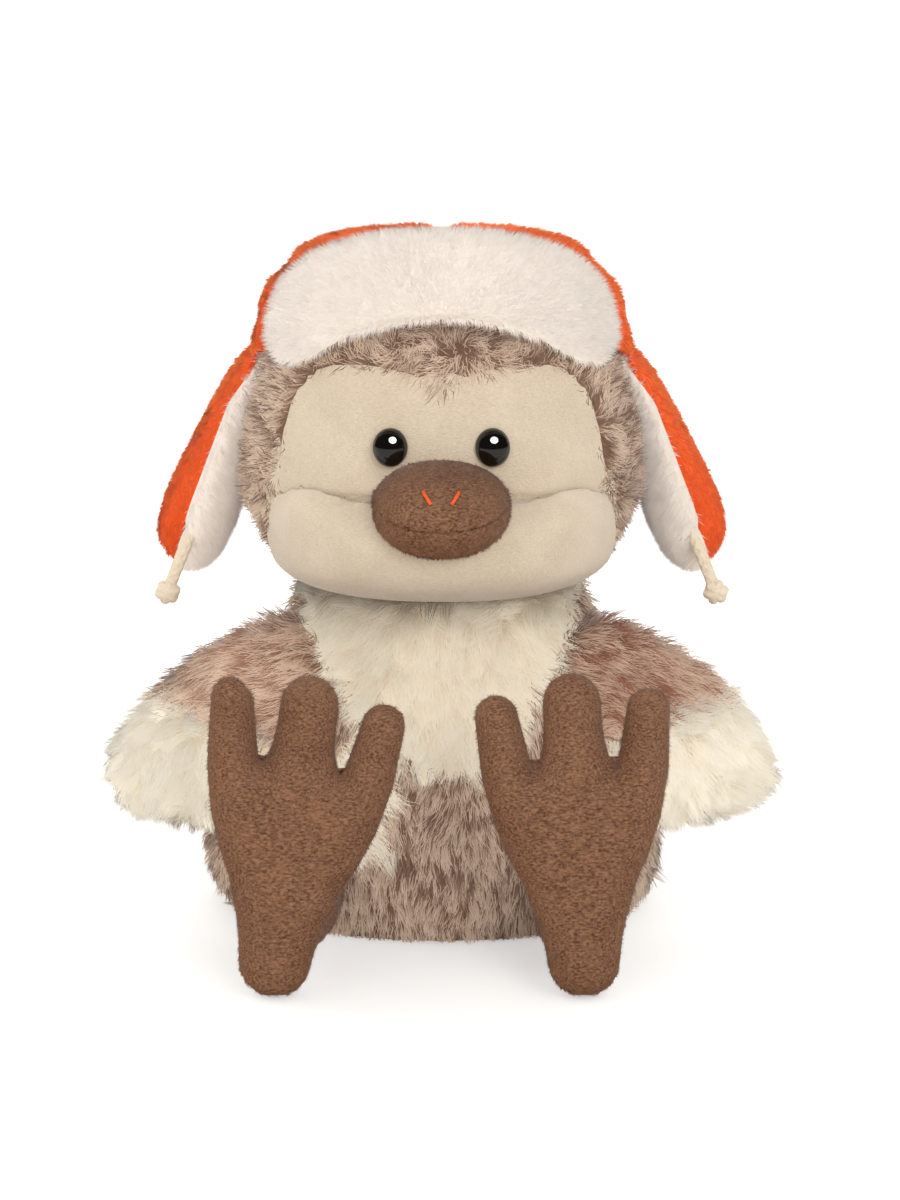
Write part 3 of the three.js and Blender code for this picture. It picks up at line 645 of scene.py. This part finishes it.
def grow(name, cloth, density, length, width, flow, seed, lift=0.5, bend=0.4, jitter=0.2, swirl=0.5, tuft=14,
         clump=0.45, ruffle=0.25, sky=0.2, keep=None, tone=even_tone, pile=False):
    """Fur on a cloth: strands of a length and width in millimetres, combed along flow.

    Density is strands to the square millimetre, and about tuft of them lean together. Lift stands them up,
    bend lays their tips down, and swirl stirs the flow. Ruffle tilts a tuft's shading, and sky turns it up.
    """
    rng = np.random.default_rng(seed)
    roots, normals = scatter(cloth, density, rng, keep)
    count = len(roots)
    combed = flow(roots) if callable(flow) else np.tile(np.array(flow, float), (count, 1))
    stir = np.stack([mottle(roots + 0.3 * axis, SWIRL_SIZE) - 0.5 for axis in range(3)], axis=1)
    combed = unit(combed) + 2 * swirl * stir
    combed = unit(combed - normals * (combed * normals).sum(axis=1, keepdims=True))
    first = unit(normals * lift + combed * (1 - lift) + rng.normal(0, jitter, (count, 3)))
    second = unit(first * (1 - bend) + combed * bend + rng.normal(0, jitter, (count, 3)))
    reach = (length * MM * rng.uniform(0.7, 1.15, count))[:, None]
    bends = roots + first * reach * 0.5
    tips = bends + second * reach * 0.5

    leaders = rng.choice(count, max(1, count // tuft), replace=False)
    tree = KDTree(len(leaders))
    for index, leader in enumerate(leaders):
        tree.insert(roots[leader], index)
    tree.balance()
    group = np.array([tree.find(root)[1] for root in roots])
    pull = clump * rng.uniform(0.4, 1.2, len(leaders))[group][:, None]
    tips += (tips[leaders][group] - tips) * pull
    bends += (bends[leaders][group] - bends) * pull * 0.35
    for points in (bends, tips):
        points[:, 2] = np.maximum(points[:, 2], FLOOR_CLEARANCE * MM)

    radius = width * MM / 2 * rng.uniform(0.8, 1.2, count)
    sunk = roots - normals * ROOT_DEPTH * MM
    faces, along, across = PILE if pile else STRAND
    if pile:
        rings = [ring(sunk, first, radius), tips[:, None]]
        stations, sizes = (sunk, tips), (3, 1)
    else:
        rings = [sunk[:, None], ring(bends, unit(tips - sunk), radius), tips[:, None]]
        stations, sizes = (sunk, bends, tips), (1, 3, 1)
    points = np.concatenate(rings, axis=1)
    corners = faces[None] + np.arange(count)[:, None, None] * points.shape[1]
    shades = np.clip(tone(roots, rng.random(len(leaders))[group], rng.random(count)), 0, 1)
    maps = np.empty((count, len(faces), 3, 2))
    maps[..., 0] = 0.01 + 0.95 * shades[:, None, None] + across[faces]
    maps[..., 1] = along[faces]
    if pile:
        maps[:, 0, 2, 1] += 0.04
    middles = [np.repeat(place[:, None], size, axis=1) for place, size in zip(stations, sizes)]
    spokes = points - np.concatenate(middles, axis=1)
    ruffled = normals + rng.normal(0, ruffle, (len(leaders), 3))[group]
    shading = unit(spokes.reshape(-1, 3)) * 0.2 + np.repeat(ruffled, points.shape[1], axis=0)
    shading[:, 2] = np.maximum(shading[:, 2], 0) + sky
    fur = mesh_piece(name, points.reshape(-1, 3), corners.reshape(-1, 3), maps.reshape(-1, 2), unit(shading))
    fur.visible_shadow = False
    fur.visible_diffuse = False
    return fur


def grow_halves(name, cloth, body, halves, keep, dark, **combing):
    """Brown fur, front and back apart. Each half gives its side, density, length, width, tuft and seed."""
    for half, (towards, density, length, width, tuft, seed) in zip(("front", "back"), halves):
        fur = grow(f"{name}_{half}", cloth, density, length, width, seed=seed, tuft=tuft,
                   keep=lambda middles, facing: keep(middles, facing) & (middles[:, 1] * towards > 0),
                   tone=lambda *strands: speckled_tone(*strands, dark=dark), **combing)
        dress(fur, BROWN_FUR, "fur_brown", body)


def away_from(x, y, z):
    """Fur combed away from a point."""
    middle = np.array((x, y, z)) * MM
    return lambda roots: roots - middle


def facing_out(x, y, z):
    """Only the faces that look away from a point."""
    middle = np.array((x, y, z)) * MM
    return lambda middles, facing: ((middles - middle) * facing).sum(axis=1) > 0


# Camera


def place_camera():
    back = Vector((0, -math.cos(VIEW_ELEVATION), math.sin(VIEW_ELEVATION)))
    bpy.ops.object.camera_add(location=VIEW_CENTRE + VIEW_DISTANCE * back)
    scene.camera = camera = bpy.context.object
    camera.rotation_euler = (-back).to_track_quat("-Z", "Y").to_euler()
    camera.data.sensor_width = SENSOR
    camera.data.lens = FOCAL_PIXELS * SENSOR / PHOTO_HEIGHT


# Cords


def flap_place(side, forward, out, up):
    """A place on an ear flap, measured from its hinge seam in millimetres, in the object's frame."""
    aside = out * math.cos(FLAP_FLARE) - up * math.sin(FLAP_FLARE)
    height = out * math.sin(FLAP_FLARE) + up * math.cos(FLAP_FLARE)
    x, y, z = FLAP_ROOT
    return np.array((side * (x + aside), y - forward, z + height)) * MM


def run_along(route):
    """How far along a route each of its points is."""
    return np.concatenate([[0], np.cumsum(np.linalg.norm(np.diff(route, axis=0), axis=1))])


def smooth_route(points, count):
    """A curve through points, as evenly spaced points."""
    points = np.array(points)
    padded = np.vstack([2 * points[0] - points[1], points, 2 * points[-1] - points[-2]])
    fine = []
    for p0, p1, p2, p3 in zip(padded, padded[1:], padded[2:], padded[3:]):
        for t in np.linspace(0, 1, 20, endpoint=False):
            fine.append(0.5 * (2 * p1 + (p2 - p0) * t + (2 * p0 - 5 * p1 + 4 * p2 - p3) * t**2
                               + (3 * p1 - p0 - 3 * p2 + p3) * t**3))
    fine = np.array(fine + [points[-1]])
    run = run_along(fine)
    return np.stack([np.interp(np.linspace(0, run[-1], count), run, fine[:, i]) for i in range(3)], axis=1)


def braided_tube(name, route, diameter, plait, around=40, closed=False):
    """A braided cord along a route. Plait is the length of one crossing of the braid."""
    route = np.asarray(route)
    ahead = np.roll(route, -1, axis=0) - np.roll(route, 1, axis=0) if closed else np.gradient(route, axis=0)
    ahead = unit(ahead)
    aside = np.empty_like(route)
    aside[0] = unit(np.cross(ahead[:1], [(0.3, 1, 0.2)]))[0]
    for i in range(1, len(route)):
        aside[i] = unit((aside[i - 1] - ahead[i] * (aside[i - 1] @ ahead[i]))[None])[0]
    over = np.cross(ahead, aside)
    angle = np.linspace(0, 2 * math.pi, around, endpoint=False)
    turn = 2 * math.pi * run_along(route)[:, None] / plait
    strands = np.maximum(np.cos(4 * angle + turn), np.cos(4 * angle - turn))
    radius = diameter / 2 * (0.9 + 0.1 * strands)
    points = route[:, None] + radius[..., None] * (aside[:, None] * np.cos(angle)[:, None]
                                                   + over[:, None] * np.sin(angle)[:, None])
    rows = len(route)
    here = np.arange(rows if closed else rows - 1)[:, None] * around
    column = np.arange(around)[None]
    below = (here + around) % (rows * around)
    beside = (column + 1) % around
    quads = np.stack([here + column, here + beside, below + beside, below + column], axis=-1).reshape(-1, 4)
    points = points.reshape(-1, 3)
    faces = np.concatenate([quads[:, (0, 1, 2)], quads[:, (0, 2, 3)]])
    if not closed:
        cap = len(points)
        points = np.vstack([points, route[0], route[-1]])
        last = (rows - 1) * around
        start = [(cap, (i + 1) % around, i) for i in range(around)]
        end = [(cap + 1, last + i, last + (i + 1) % around) for i in range(around)]
        faces = np.concatenate([faces, np.array(start + end)])
    return mesh_piece(name, points, faces)


def make_cord(name, side):
    body = f"flap_{name}"
    stops = [flap_place(side, *stop) for stop in CORD_ROUTE]
    route = smooth_route(stops, 90)
    cord = braided_tube(f"tie_cord_{name}", route, CORD_DIAMETER * MM, CORD_PLAIT * MM)
    dress(cord, COTTON, "cord_cotton", body, f"cord_{name}")

    low, high = (np.array(corner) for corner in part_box(f"cord_knot_{name}"))
    middle = (low + high) / 2
    strand = 0.9 * CORD_DIAMETER * MM
    room = (high - low - strand) / 2
    turn = np.linspace(0, 2 * math.pi, 60, endpoint=False)
    wraps = []
    for tilt in KNOT_TILTS:
        loop = np.stack([np.cos(turn) * math.cos(tilt), np.sin(turn), np.cos(turn) * math.sin(tilt)], axis=1)
        loop = middle + loop * room
        wraps.append(braided_tube(f"wrap_{tilt}", loop, strand, KNOT_PLAIT * MM, 24, closed=True))
    knot = join(f"tie_knot_{name}", wraps)
    dress(knot, COTTON, "cord_cotton", body, f"cord_knot_{name}")


# Torso

SUBDIVISION = {"levels": 1, "render_levels": 1}


def make_torso():
    torso = copy_of("torso_cloth", "body_skin")
    shape(torso, "SUBSURF", **SUBDIVISION)
    push(torso, 0, lambda x, y, z: -6 * MM * (bell(z, 18, 22) * ramp(x, -35, -60)))  # a slump to its right
    smooth_shade(torso)
    pad(torso, BROWN_BACKING, "fur_brown", "torso", 0.7, "body_skin", "body_filling", "pellet_bag")

    seat = copy_of("seat_cloth", "seat_panel")
    shape(seat, "SUBSURF", subdivision_type="SIMPLE", **SUBDIVISION)
    pad(seat, BROWN_BACKING, "fur_brown", "torso", 0.5, "seat_panel")

    bib = copy_of("bib_cloth", "chest_bib")
    shape(bib, "SUBSURF", **SUBDIVISION)
    smooth_shade(bib)
    pad(bib, IVORY_BACKING, "fur_ivory", "torso", 0.5, "chest_bib")

    def outside(middles, facing):
        return ((middles[:, :2] * facing[:, :2]).sum(axis=1) > 0) & (middles[:, 2] > 2 * MM)

    grow_halves("torso_fur", torso, "torso", [(-1, 1.9, 8, 0.36, 7, 1), (1, 1.1, 10, 0.48, 5, 2)], outside,
                dark=0.43, flow=(0, 0, -1), lift=0.3, bend=0.3, clump=0.7)

    def bib_flow(roots):
        """Combed down, but brushed up under the chin."""
        x, y, z = roots.T
        upward = ramp(z, 98, 102)
        aside = x / MM / (24 + 16 * ramp(z, 68, 102))
        return np.stack([1.4 * aside**3, -0.1 - upward, 1.6 * upward - 1], axis=1)

    fur = grow("bib_fur", bib, 4.2, 12, 0.3, bib_flow, 3, lift=0.36, bend=0.3, clump=0.7, tuft=50,
               ruffle=0.15, keep=facing_out(0, 0, 80))
    dress(fur, IVORY_FUR, "fur_ivory", "torso")

    def hip(middles, facing):
        """Where a white tuft stands between the toy's right foot and its belly."""
        x, y, z = middles.T / MM
        return (x < -20) & (x > -37) & (np.abs(z - 45) < 15) & (y < -20)

    fur = grow("hip_tuft_right", torso, 3.4, 14, 0.34, (1, -0.2, -0.7), 59, lift=0.4, bend=0.3, clump=0.7,
               tuft=30, keep=hip)
    dress(fur, BAND_FUR, "fur_ivory", "torso")


# Head


def make_head():
    hood = HEAD.panel("hood_cloth", "head_skin", 128, 96, thickness=2, hem=0.8)
    points = coordinates(hood)
    x, y, z = points.T
    chin = ramp(z, 119, 111) * ramp(y, -8, -18)
    y += 14 * MM * chin
    covered = ramp(z, 146, 142) * ramp(np.abs(x), 53, 48)
    y += 5 * MM * covered * ramp(y, -20, -25) * (1 - chin)
    x *= 1 - 0.07 * ramp(z, 138, 118)
    move_points(hood, points)
    pad(hood, BROWN_BACKING, "fur_brown", "head", 0.8, "head_skin", "head_filling", shadow=False)

    def outside(middles, facing, hidden=False):
        under_hat = (middles - CROWN.centre) @ HAT_RIM_NORMAL > HAT_RIM * MM
        x, y, z = middles.T
        covered = (z < 142 * MM) & (y < -24 * MM) & (np.abs(x) < 46 * MM)
        return (((middles - HEAD.centre) * facing).sum(axis=1) > 0) & (under_hat == hidden) & ~covered

    def hood_flow(roots):
        """Combed away from the face, but over it between the brows and in the corners above the cheeks."""
        x, y, z = roots.T
        brow = bell(x, 0, 15) * ramp(y, -38, -44) * ramp(z, 165, 170)
        corner = bell(z, 141, 6) * ramp(y, -15, -25)
        away = unit(roots - np.array((0, -70, 140)) * MM) - np.outer(2.4 * corner, (1, 0, 0)) * np.sign(roots)
        return away + np.outer(3 * brow, (0, -0.2, -1))

    grow_halves("hood_fur", hood, "head", [(-1, 2.4, 7, 0.34, 8, 4), (1, 1.2, 7, 0.48, 5, 8)], outside,
                dark=0.46, flow=hood_flow, bend=0.3, jitter=0.3, swirl=1.3, clump=0.55)
    fur = grow("hood_fur_top", hood, 0.45, 6.5, 0.5, (0, 0, 1), 7, lift=0.25, clump=0.5, tone=speckled_tone,
               keep=lambda middles, facing: outside(middles, facing, hidden=True))
    dress(fur, BROWN_FUR, "fur_brown", "head")

    face = HEAD.panel("face_cloth", "face_panel", 256, 192, thickness=2, hem=3.5)
    push(face, 2, lambda x, y, z: -4 * MM * ramp(z, 142, 137))
    pucker(face, CHEEK)
    pad(face, CREAM_NAP, "face_cream", "head", 0.7, "face_panel")

    cheek = stuffed("cheek_cloth", "cheek_roll", voxel=1.3, smoothing=4)
    CHEEK.round_off(cheek, 2.2)
    fill_cheek(cheek)
    pucker(cheek, HEAD)
    pad(cheek, CREAM_NAP, "face_cream", "head", 0.8, "cheek_roll", shadow=False)


def fill_cheek(cheek):
    """Stuffs the roll's lower corners out, and lifts its seam at the ends, where the roll is fullest."""
    points = coordinates(cheek)
    x, y, z = points.T
    lower = (z < CHEEK.centre[2]) & (np.abs(CHEEK.depth(points)) < 1.5 * MM)
    points[lower] = FULL_CHEEK.onto(points[lower])
    ends = ramp(np.abs(x), 22, 46)
    z += 7 * MM * ends**2 * (3 - 2 * ends) * ramp(z, 118, 132)
    move_points(cheek, points)


def pucker(piece, neighbour):
    """Gathers a cloth along the seam where it meets its neighbour, and lets it swell unevenly elsewhere."""
    points = coordinates(piece)
    x, y, z = points.T
    seam = np.abs(neighbour.depth(points))
    bearing = np.arctan2(x, -y + 20 * MM)
    gathers = np.sin(bearing * 62 + 5 * mottle(points, 9)) * (0.4 + 0.6 * mottle(points, 6))
    swell = (mottle(points, 24) - 0.5) * ramp(seam, 0, 12)
    drawn = 1.3 * bell(seam, 0, 1.6)
    upper = ramp(z, 122, 130)
    travel = (0.5 * gathers * np.exp(-seam / MM / 4) - drawn) * upper + 1.3 * swell
    move_points(piece, points + coordinates(piece, "normal") * (travel * MM)[:, None])


def make_beak():
    for half, other, upward, seed in [("upper", "lower", -1, 5), ("lower", "upper", 1, 6)]:
        beak = stuffed(f"beak_{half}_cloth", f"beak_{half}", voxel=1.0, smoothing=4)
        BEAK.round_off(beak, 0.9)
        close_seam(beak, f"beak_{other}", upward)
        pad(beak, BROWN_PLUSH, "plush_brown", "head", 0.8, f"beak_{half}")
        pile = grow(f"beak_{half}_pile", beak, 2.4, 1.4, 0.36, (0, -0.3, -1), seed, lift=0.45, swirl=0.9,
                    clump=0.2, keep=facing_out(0, -55, 140), tone=flecked_tone, pile=True)
        dress(pile, BROWN_PILE, "plush_brown", "head")


def close_seam(piece, neighbour, upward):
    """Fills a beak cloth out along the mouth, laps it over its CAD neighbour, and sets it into the face."""
    points = coordinates(piece)
    near = bell(nearest(neighbour, points)[1], 0, 1.4)[:, None] * MM
    points += near * (0.3 * unit(points - BEAK.centre) + np.array((0, 0, 0.6 * upward)))
    points[:, 1] += 6 * MM * ramp(points[:, 1], -64, -60)
    move_points(piece, points)


def make_eye(name):
    """A moulded bead with a soft edge, where the CAD eye sits, on a shank through the cloth."""
    points = coordinates(nodes[f"eye_{name}"])
    plate = nodes[f"eye_washer_{name}"]
    washer = coordinates(plate).mean(axis=0)
    outward = Vector(points.mean(axis=0) - washer).normalized()
    along = (points - washer) @ np.array(outward)
    front = along.max()
    wide = np.linalg.norm(points - washer - along[:, None] * np.array(outward), axis=1)
    base = along[wide > 0.95 * wide.max()].min()
    eye = globe(f"eye_bead_{name}", 48, 32)
    local = coordinates(eye)
    local[:, 2] *= np.where(local[:, 2] > 0, 1, 0.25) * (front - base)
    local[:, :2] *= wide.max() * np.array((0.9, 1))
    turn = np.array(outward.to_track_quat("Z", "Y").to_matrix())
    move_points(eye, washer + np.array(outward) * base + local @ turn.T)
    smooth_shade(eye)
    dress(eye, BEAD, "eye_black", "head", f"eye_{name}")
    plate.data.materials.clear()
    plate.data.materials.append(WASHER)


def make_stitch(name, side):
    """A nostril stitch: a few passes of thread side by side, over the pile."""
    middle = coordinates(nodes[f"nostril_stitch_{name}"]).mean(axis=0) + (0, 0, 2.9 * MM)
    outward = unit((middle - BEAK.centre)[None])[0]
    along = unit(np.cross(np.cross(outward, (side * 0.56, 0, 0.83)), outward)[None])[0]
    aside = np.cross(along, outward)
    shares = np.array((-1, -0.6, 0, 0.6, 1))
    passes = []
    for step in (-1, 0, 1):
        row = middle + aside * step * 0.3 * MM
        stops = BEAK.onto(row + np.outer(shares, along) * NOSTRIL_LENGTH / 2 * MM)
        stops += np.outer(0.5 + 0.5 * (1 - shares**2), outward) * MM
        route = smooth_route(stops, 24)
        passes.append(braided_tube(f"pass_{step}", route, THREAD_DIAMETER * MM, THREAD_TWIST * MM, 10))
    stitch = join(f"nostril_thread_{name}", passes)
    dress(stitch, THREAD, "thread_orange", "head", f"nostril_stitch_{name}")


# Wings, legs and tail


def make_wing(name, side, seed):
    body = f"wing_{name}"
    covert = stuffed(f"covert_cloth_{name}", f"wing_covert_{name}", voxel=2.2)
    pad(covert, BROWN_BACKING, "fur_brown", body, 0.5, f"wing_covert_{name}")

    def graded_tone(roots, tuft, strand):
        """Speckled in broad patches, and paler beside the band."""
        away = nearest(f"wing_band_{name}", roots)[1]
        speckled = 0.85 * speckled_tone(roots, tuft, strand) + 0.5 * (mottle(roots, 26) - 0.5)
        return speckled + 0.7 * np.exp(-away / MM / 6) * strand - 0.1

    fur = grow(f"covert_fur_{name}", covert, 2.6, 11, 0.32, (side, -0.1, -0.55), seed, lift=0.28, bend=0.3,
               clump=0.6, tuft=10, keep=facing_out(side * 20, 0, 60), tone=graded_tone)
    dress(fur, WING_FUR, "fur_brown", body)

    band = stuffed(f"band_cloth_{name}", f"wing_band_{name}", voxel=2.2)
    pad(band, IVORY_BACKING, "fur_ivory", body, 0.5, f"wing_band_{name}")
    fur = grow(f"band_fur_{name}", band, 3.4, 11.5, 0.32, away_from(side * 56, -20, 84), seed + 1, lift=0.28,
               bend=0.3, clump=0.65, tuft=46, sky=0.5)
    dress(fur, BAND_FUR, "fur_ivory", body)


def make_leg(name, side, seed):
    body = f"limb_{name}"
    leg = stuffed(f"leg_cloth_{name}", f"leg_{name}", voxel=2, smoothing=4, swell=0.6)
    shrink(leg, 0.9)
    push(leg, 0, lambda x, y, z: -side * 3 * MM * ramp(y, -65, -80))
    foot = pillow(f"foot_cloth_{name}", f"foot_{name}", FOOT_PLANE, half=9.1, inset=0.2, reach=11, step=1)
    blow_up(foot, 0.5)
    if name == "right":  # its outer toe is the longer one
        push(foot, 2, lambda x, y, z: 2.4 * MM * ramp(x, -57, -61) * ramp(z, 72, 86))
    for part, cloth in [("leg", leg), ("foot", foot)]:
        pad(cloth, BROWN_PLUSH, "plush_brown", body, 0.7, f"{part}_{name}", shadow=part == "leg")
        pile = grow(f"{part}_pile_{name}", cloth, 1.8, 1.4, 0.36, (0, 0, -1), seed, lift=0.42, swirl=0.9,
                    clump=0.2, tone=flecked_tone, pile=True)
        dress(pile, BROWN_PILE, "plush_brown", body)


def make_tail():
    tail = stuffed("tail_cloth", "tail", voxel=2.2)
    pad(tail, BROWN_BACKING, "fur_brown", "tail_pad", 0.5, "tail")
    fur = grow("tail_fur", tail, 1.2, 9, 0.42, (0, 1, 0.2), 40, lift=0.28, bend=0.5, clump=0.5,
               tone=speckled_tone)
    dress(fur, BROWN_FUR, "fur_brown", "tail_pad")


# Hat


def make_hat():
    crown = stuffed("crown_cloth", "hat_crown", voxel=1.6, smoothing=3)
    CROWN.round_off(crown, 1.0)
    sew_gores(crown)
    points = coordinates(crown)
    rise = (points - CROWN.centre) @ HAT_RIM_NORMAL
    tucked = ramp(rise, HAT_RIM + 10, HAT_RIM) * ramp(points[:, 1], -25, -31)
    move_points(crown, points + HAT_RIM_NORMAL * (9 * MM * tucked)[:, None])
    pad(crown, ORANGE_BACKING, "hat_orange", "hat", 0.4, "hat_crown")
    # Painted light: the crown's pile takes a lighter tone than the flaps' pile of the same cloth, to brighten
    # the crown where it faces up and back, away from the front lamps.
    pile = grow("crown_pile", crown, 1.4, 2.6, 0.48, away_from(0, 0, 230), 50, lift=0.42, tuft=10, clump=0.4,
                swirl=0.7, keep=facing_out(0, -1, 170), pile=True,
                tone=lambda *strands: even_tone(*strands) + 0.5)
    dress(pile, ORANGE_PILE, "hat_orange", "hat")

    brim = stuffed("brim_cloth", "hat_brim", voxel=1.8)
    shrink(brim, 0.2)
    push(brim, 2, lambda x, y, z: 3 * MM * (ramp(z, 206, 194) * np.clip(1 - (x / MM / 48) ** 2, 0, 1)))
    pad(brim, WHITE_BACKING, "fur_white", "hat", 0.7, "hat_brim", shadow=False)
    fur = grow("brim_fur", brim, 5, 3.2, 0.28, away_from(0, -45, 190), 51, lift=0.7, clump=0.2, swirl=0.3,
               ruffle=0.1, keep=facing_out(0, -20, 200), pile=True)
    dress(fur, WHITE_FUR, "fur_white", "hat")


def sew_gores(crown):
    """Draws in the crossed seams of the crown, so that its four gores swell between them."""
    points = coordinates(crown)
    from_seam = np.minimum(np.abs(points[:, 0]), np.abs(points[:, 1] - CROWN.centre[1]))
    drawn = 2.2 * bell(from_seam, 0, 3.5)
    move_points(crown, points - unit(points - CROWN.centre) * (drawn * MM)[:, None])


def wrap_edge(cloth, side, outward, backward):
    """Moves the front edge of a flap's cloth, where the lining's thick pile rolls over the seam."""
    points = coordinates(cloth)
    edge = ramp(points[:, 1], -6, -20) * ramp(points[:, 2], 178, 166)
    points += np.outer(edge, (side * outward, backward, 0)) * MM
    move_points(cloth, points)


def make_flap(name, side, seed):
    outer = stuffed(f"flap_cloth_{name}", f"ear_flap_outer_{name}", voxel=1.8, smoothing=8, swell=1.0)
    wrap_edge(outer, side, 0, 5)
    pad(outer, ORANGE_BACKING, "hat_orange", None, 0.6, f"ear_flap_outer_{name}", shadow=False)

    def graded_tone(roots, tuft, strand):
        """Painted light: lighter towards the top, as if lit from above, and so darker towards the tip."""
        return 0.05 + 0.25 * tuft + 0.3 * strand + 0.45 * ramp(roots[:, 2], 125, 170)

    pile = grow(f"flap_pile_{name}", outer, 2.2, 2.9, 0.42, (0, 0, -1), seed, lift=0.4, tuft=10, clump=0.4,
                swirl=0.7, tone=graded_tone, pile=True)
    dress(pile, ORANGE_PILE, "hat_orange")

    lining = stuffed(f"lining_cloth_{name}", f"ear_flap_lining_{name}", voxel=2)
    wrap_edge(lining, side, 4, 0)
    pad(lining, WHITE_BACKING, "fur_white", None, 0.6, f"ear_flap_lining_{name}", shadow=False)
    fur = grow(f"lining_fur_{name}", lining, 5, 3.8, 0.3, (-side / 2, -0.3, -1), seed + 1, lift=0.6, bend=0.3,
               clump=0.2, swirl=0.3, ruffle=0.1, sky=0.6, keep=facing_out(side * 95, 0, 150), pile=True)
    dress(fur, WHITE_FUR, "fur_white")
    for piece in (outer, pile, lining, fur):
        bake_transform(piece)


# Stage


def add_lamp(place, power):
    bpy.ops.object.light_add(type="AREA", location=place)
    lamp = bpy.context.object
    lamp.data.energy = power
    lamp.rotation_euler = (VIEW_CENTRE - Vector(place)).to_track_quat("-Z", "Y").to_euler()
    return lamp


def light_stage():
    scene.world = world = bpy.data.worlds.new("studio")
    world.use_nodes = True
    tree = world.node_tree
    shown = tree.nodes["Background"]
    shown.inputs["Color"].default_value = (1, 1, 1, 1)
    shown.inputs["Strength"].default_value = AMBIENT
    white = tree.nodes.new("ShaderNodeBackground")
    white.inputs["Color"].default_value = (1, 1, 1, 1)
    dim = tree.nodes.new("ShaderNodeBackground")
    dim.inputs["Strength"].default_value = MIRRORED_AMBIENT
    path = tree.nodes.new("ShaderNodeLightPath")
    for ray, seen in [("Is Glossy Ray", dim), ("Is Camera Ray", white)]:
        choice = tree.nodes.new("ShaderNodeMixShader")
        tree.links.new(path.outputs[ray], choice.inputs[0])
        tree.links.new(shown.outputs[0], choice.inputs[1])
        tree.links.new(seen.outputs[0], choice.inputs[2])
        shown = choice
    tree.links.new(shown.outputs[0], tree.nodes["World Output"].inputs["Surface"])

    for place, size, power in LAMPS:
        lamp = add_lamp(place, power)
        lamp.data.size = size
        lamp.visible_glossy = False

    # A bright disc that only the eyes mirror
    lamp = add_lamp(EYE_LIGHT, EYE_LIGHT_POWER)
    lamp.data.shape = "ELLIPSE"
    lamp.data.size, lamp.data.size_y = EYE_LIGHT_SIZE
    lamp.visible_diffuse = False

    bpy.ops.mesh.primitive_plane_add(size=12)
    floor = added("floor")
    paper = Finish("white paper", {"Base Color": (0.83, 0.82, 0.8, 1), "Roughness": 0.9,
                                   "Specular IOR Level": 0, "Emission Strength": 1})
    seen = paper.node("LightPath", output="Is Camera Ray")
    place = paper.node("TexCoord", output="Object")
    from_toy = paper.node("VectorMath", {"operation": "LENGTH"}, {0: place}, "Value")
    fade = {"Value": from_toy, "From Min": 0.15, "From Max": 0.7, "To Min": 0.36, "To Max": 0.62}
    lift = paper.node("MapRange", inputs=fade)
    paper.drive("Emission Color", paper.mix(seen * lift, (0, 0, 0, 1), (1, 1, 1, 1)))
    floor.data.materials.append(paper.material)


place_camera()
for name, side in SIDES.items():
    make_cord(name, side)
make_torso()
make_head()
make_beak()
make_tail()
make_hat()
for number, (name, side) in enumerate(SIDES.items()):
    make_eye(name)
    make_stitch(name, side)
    make_wing(name, side, 10 + number * 4)
    make_leg(name, side, 20 + number * 4)
    make_flap(name, side, 30 + number * 4)
light_stage()

scene.view_settings.view_transform = "Standard"
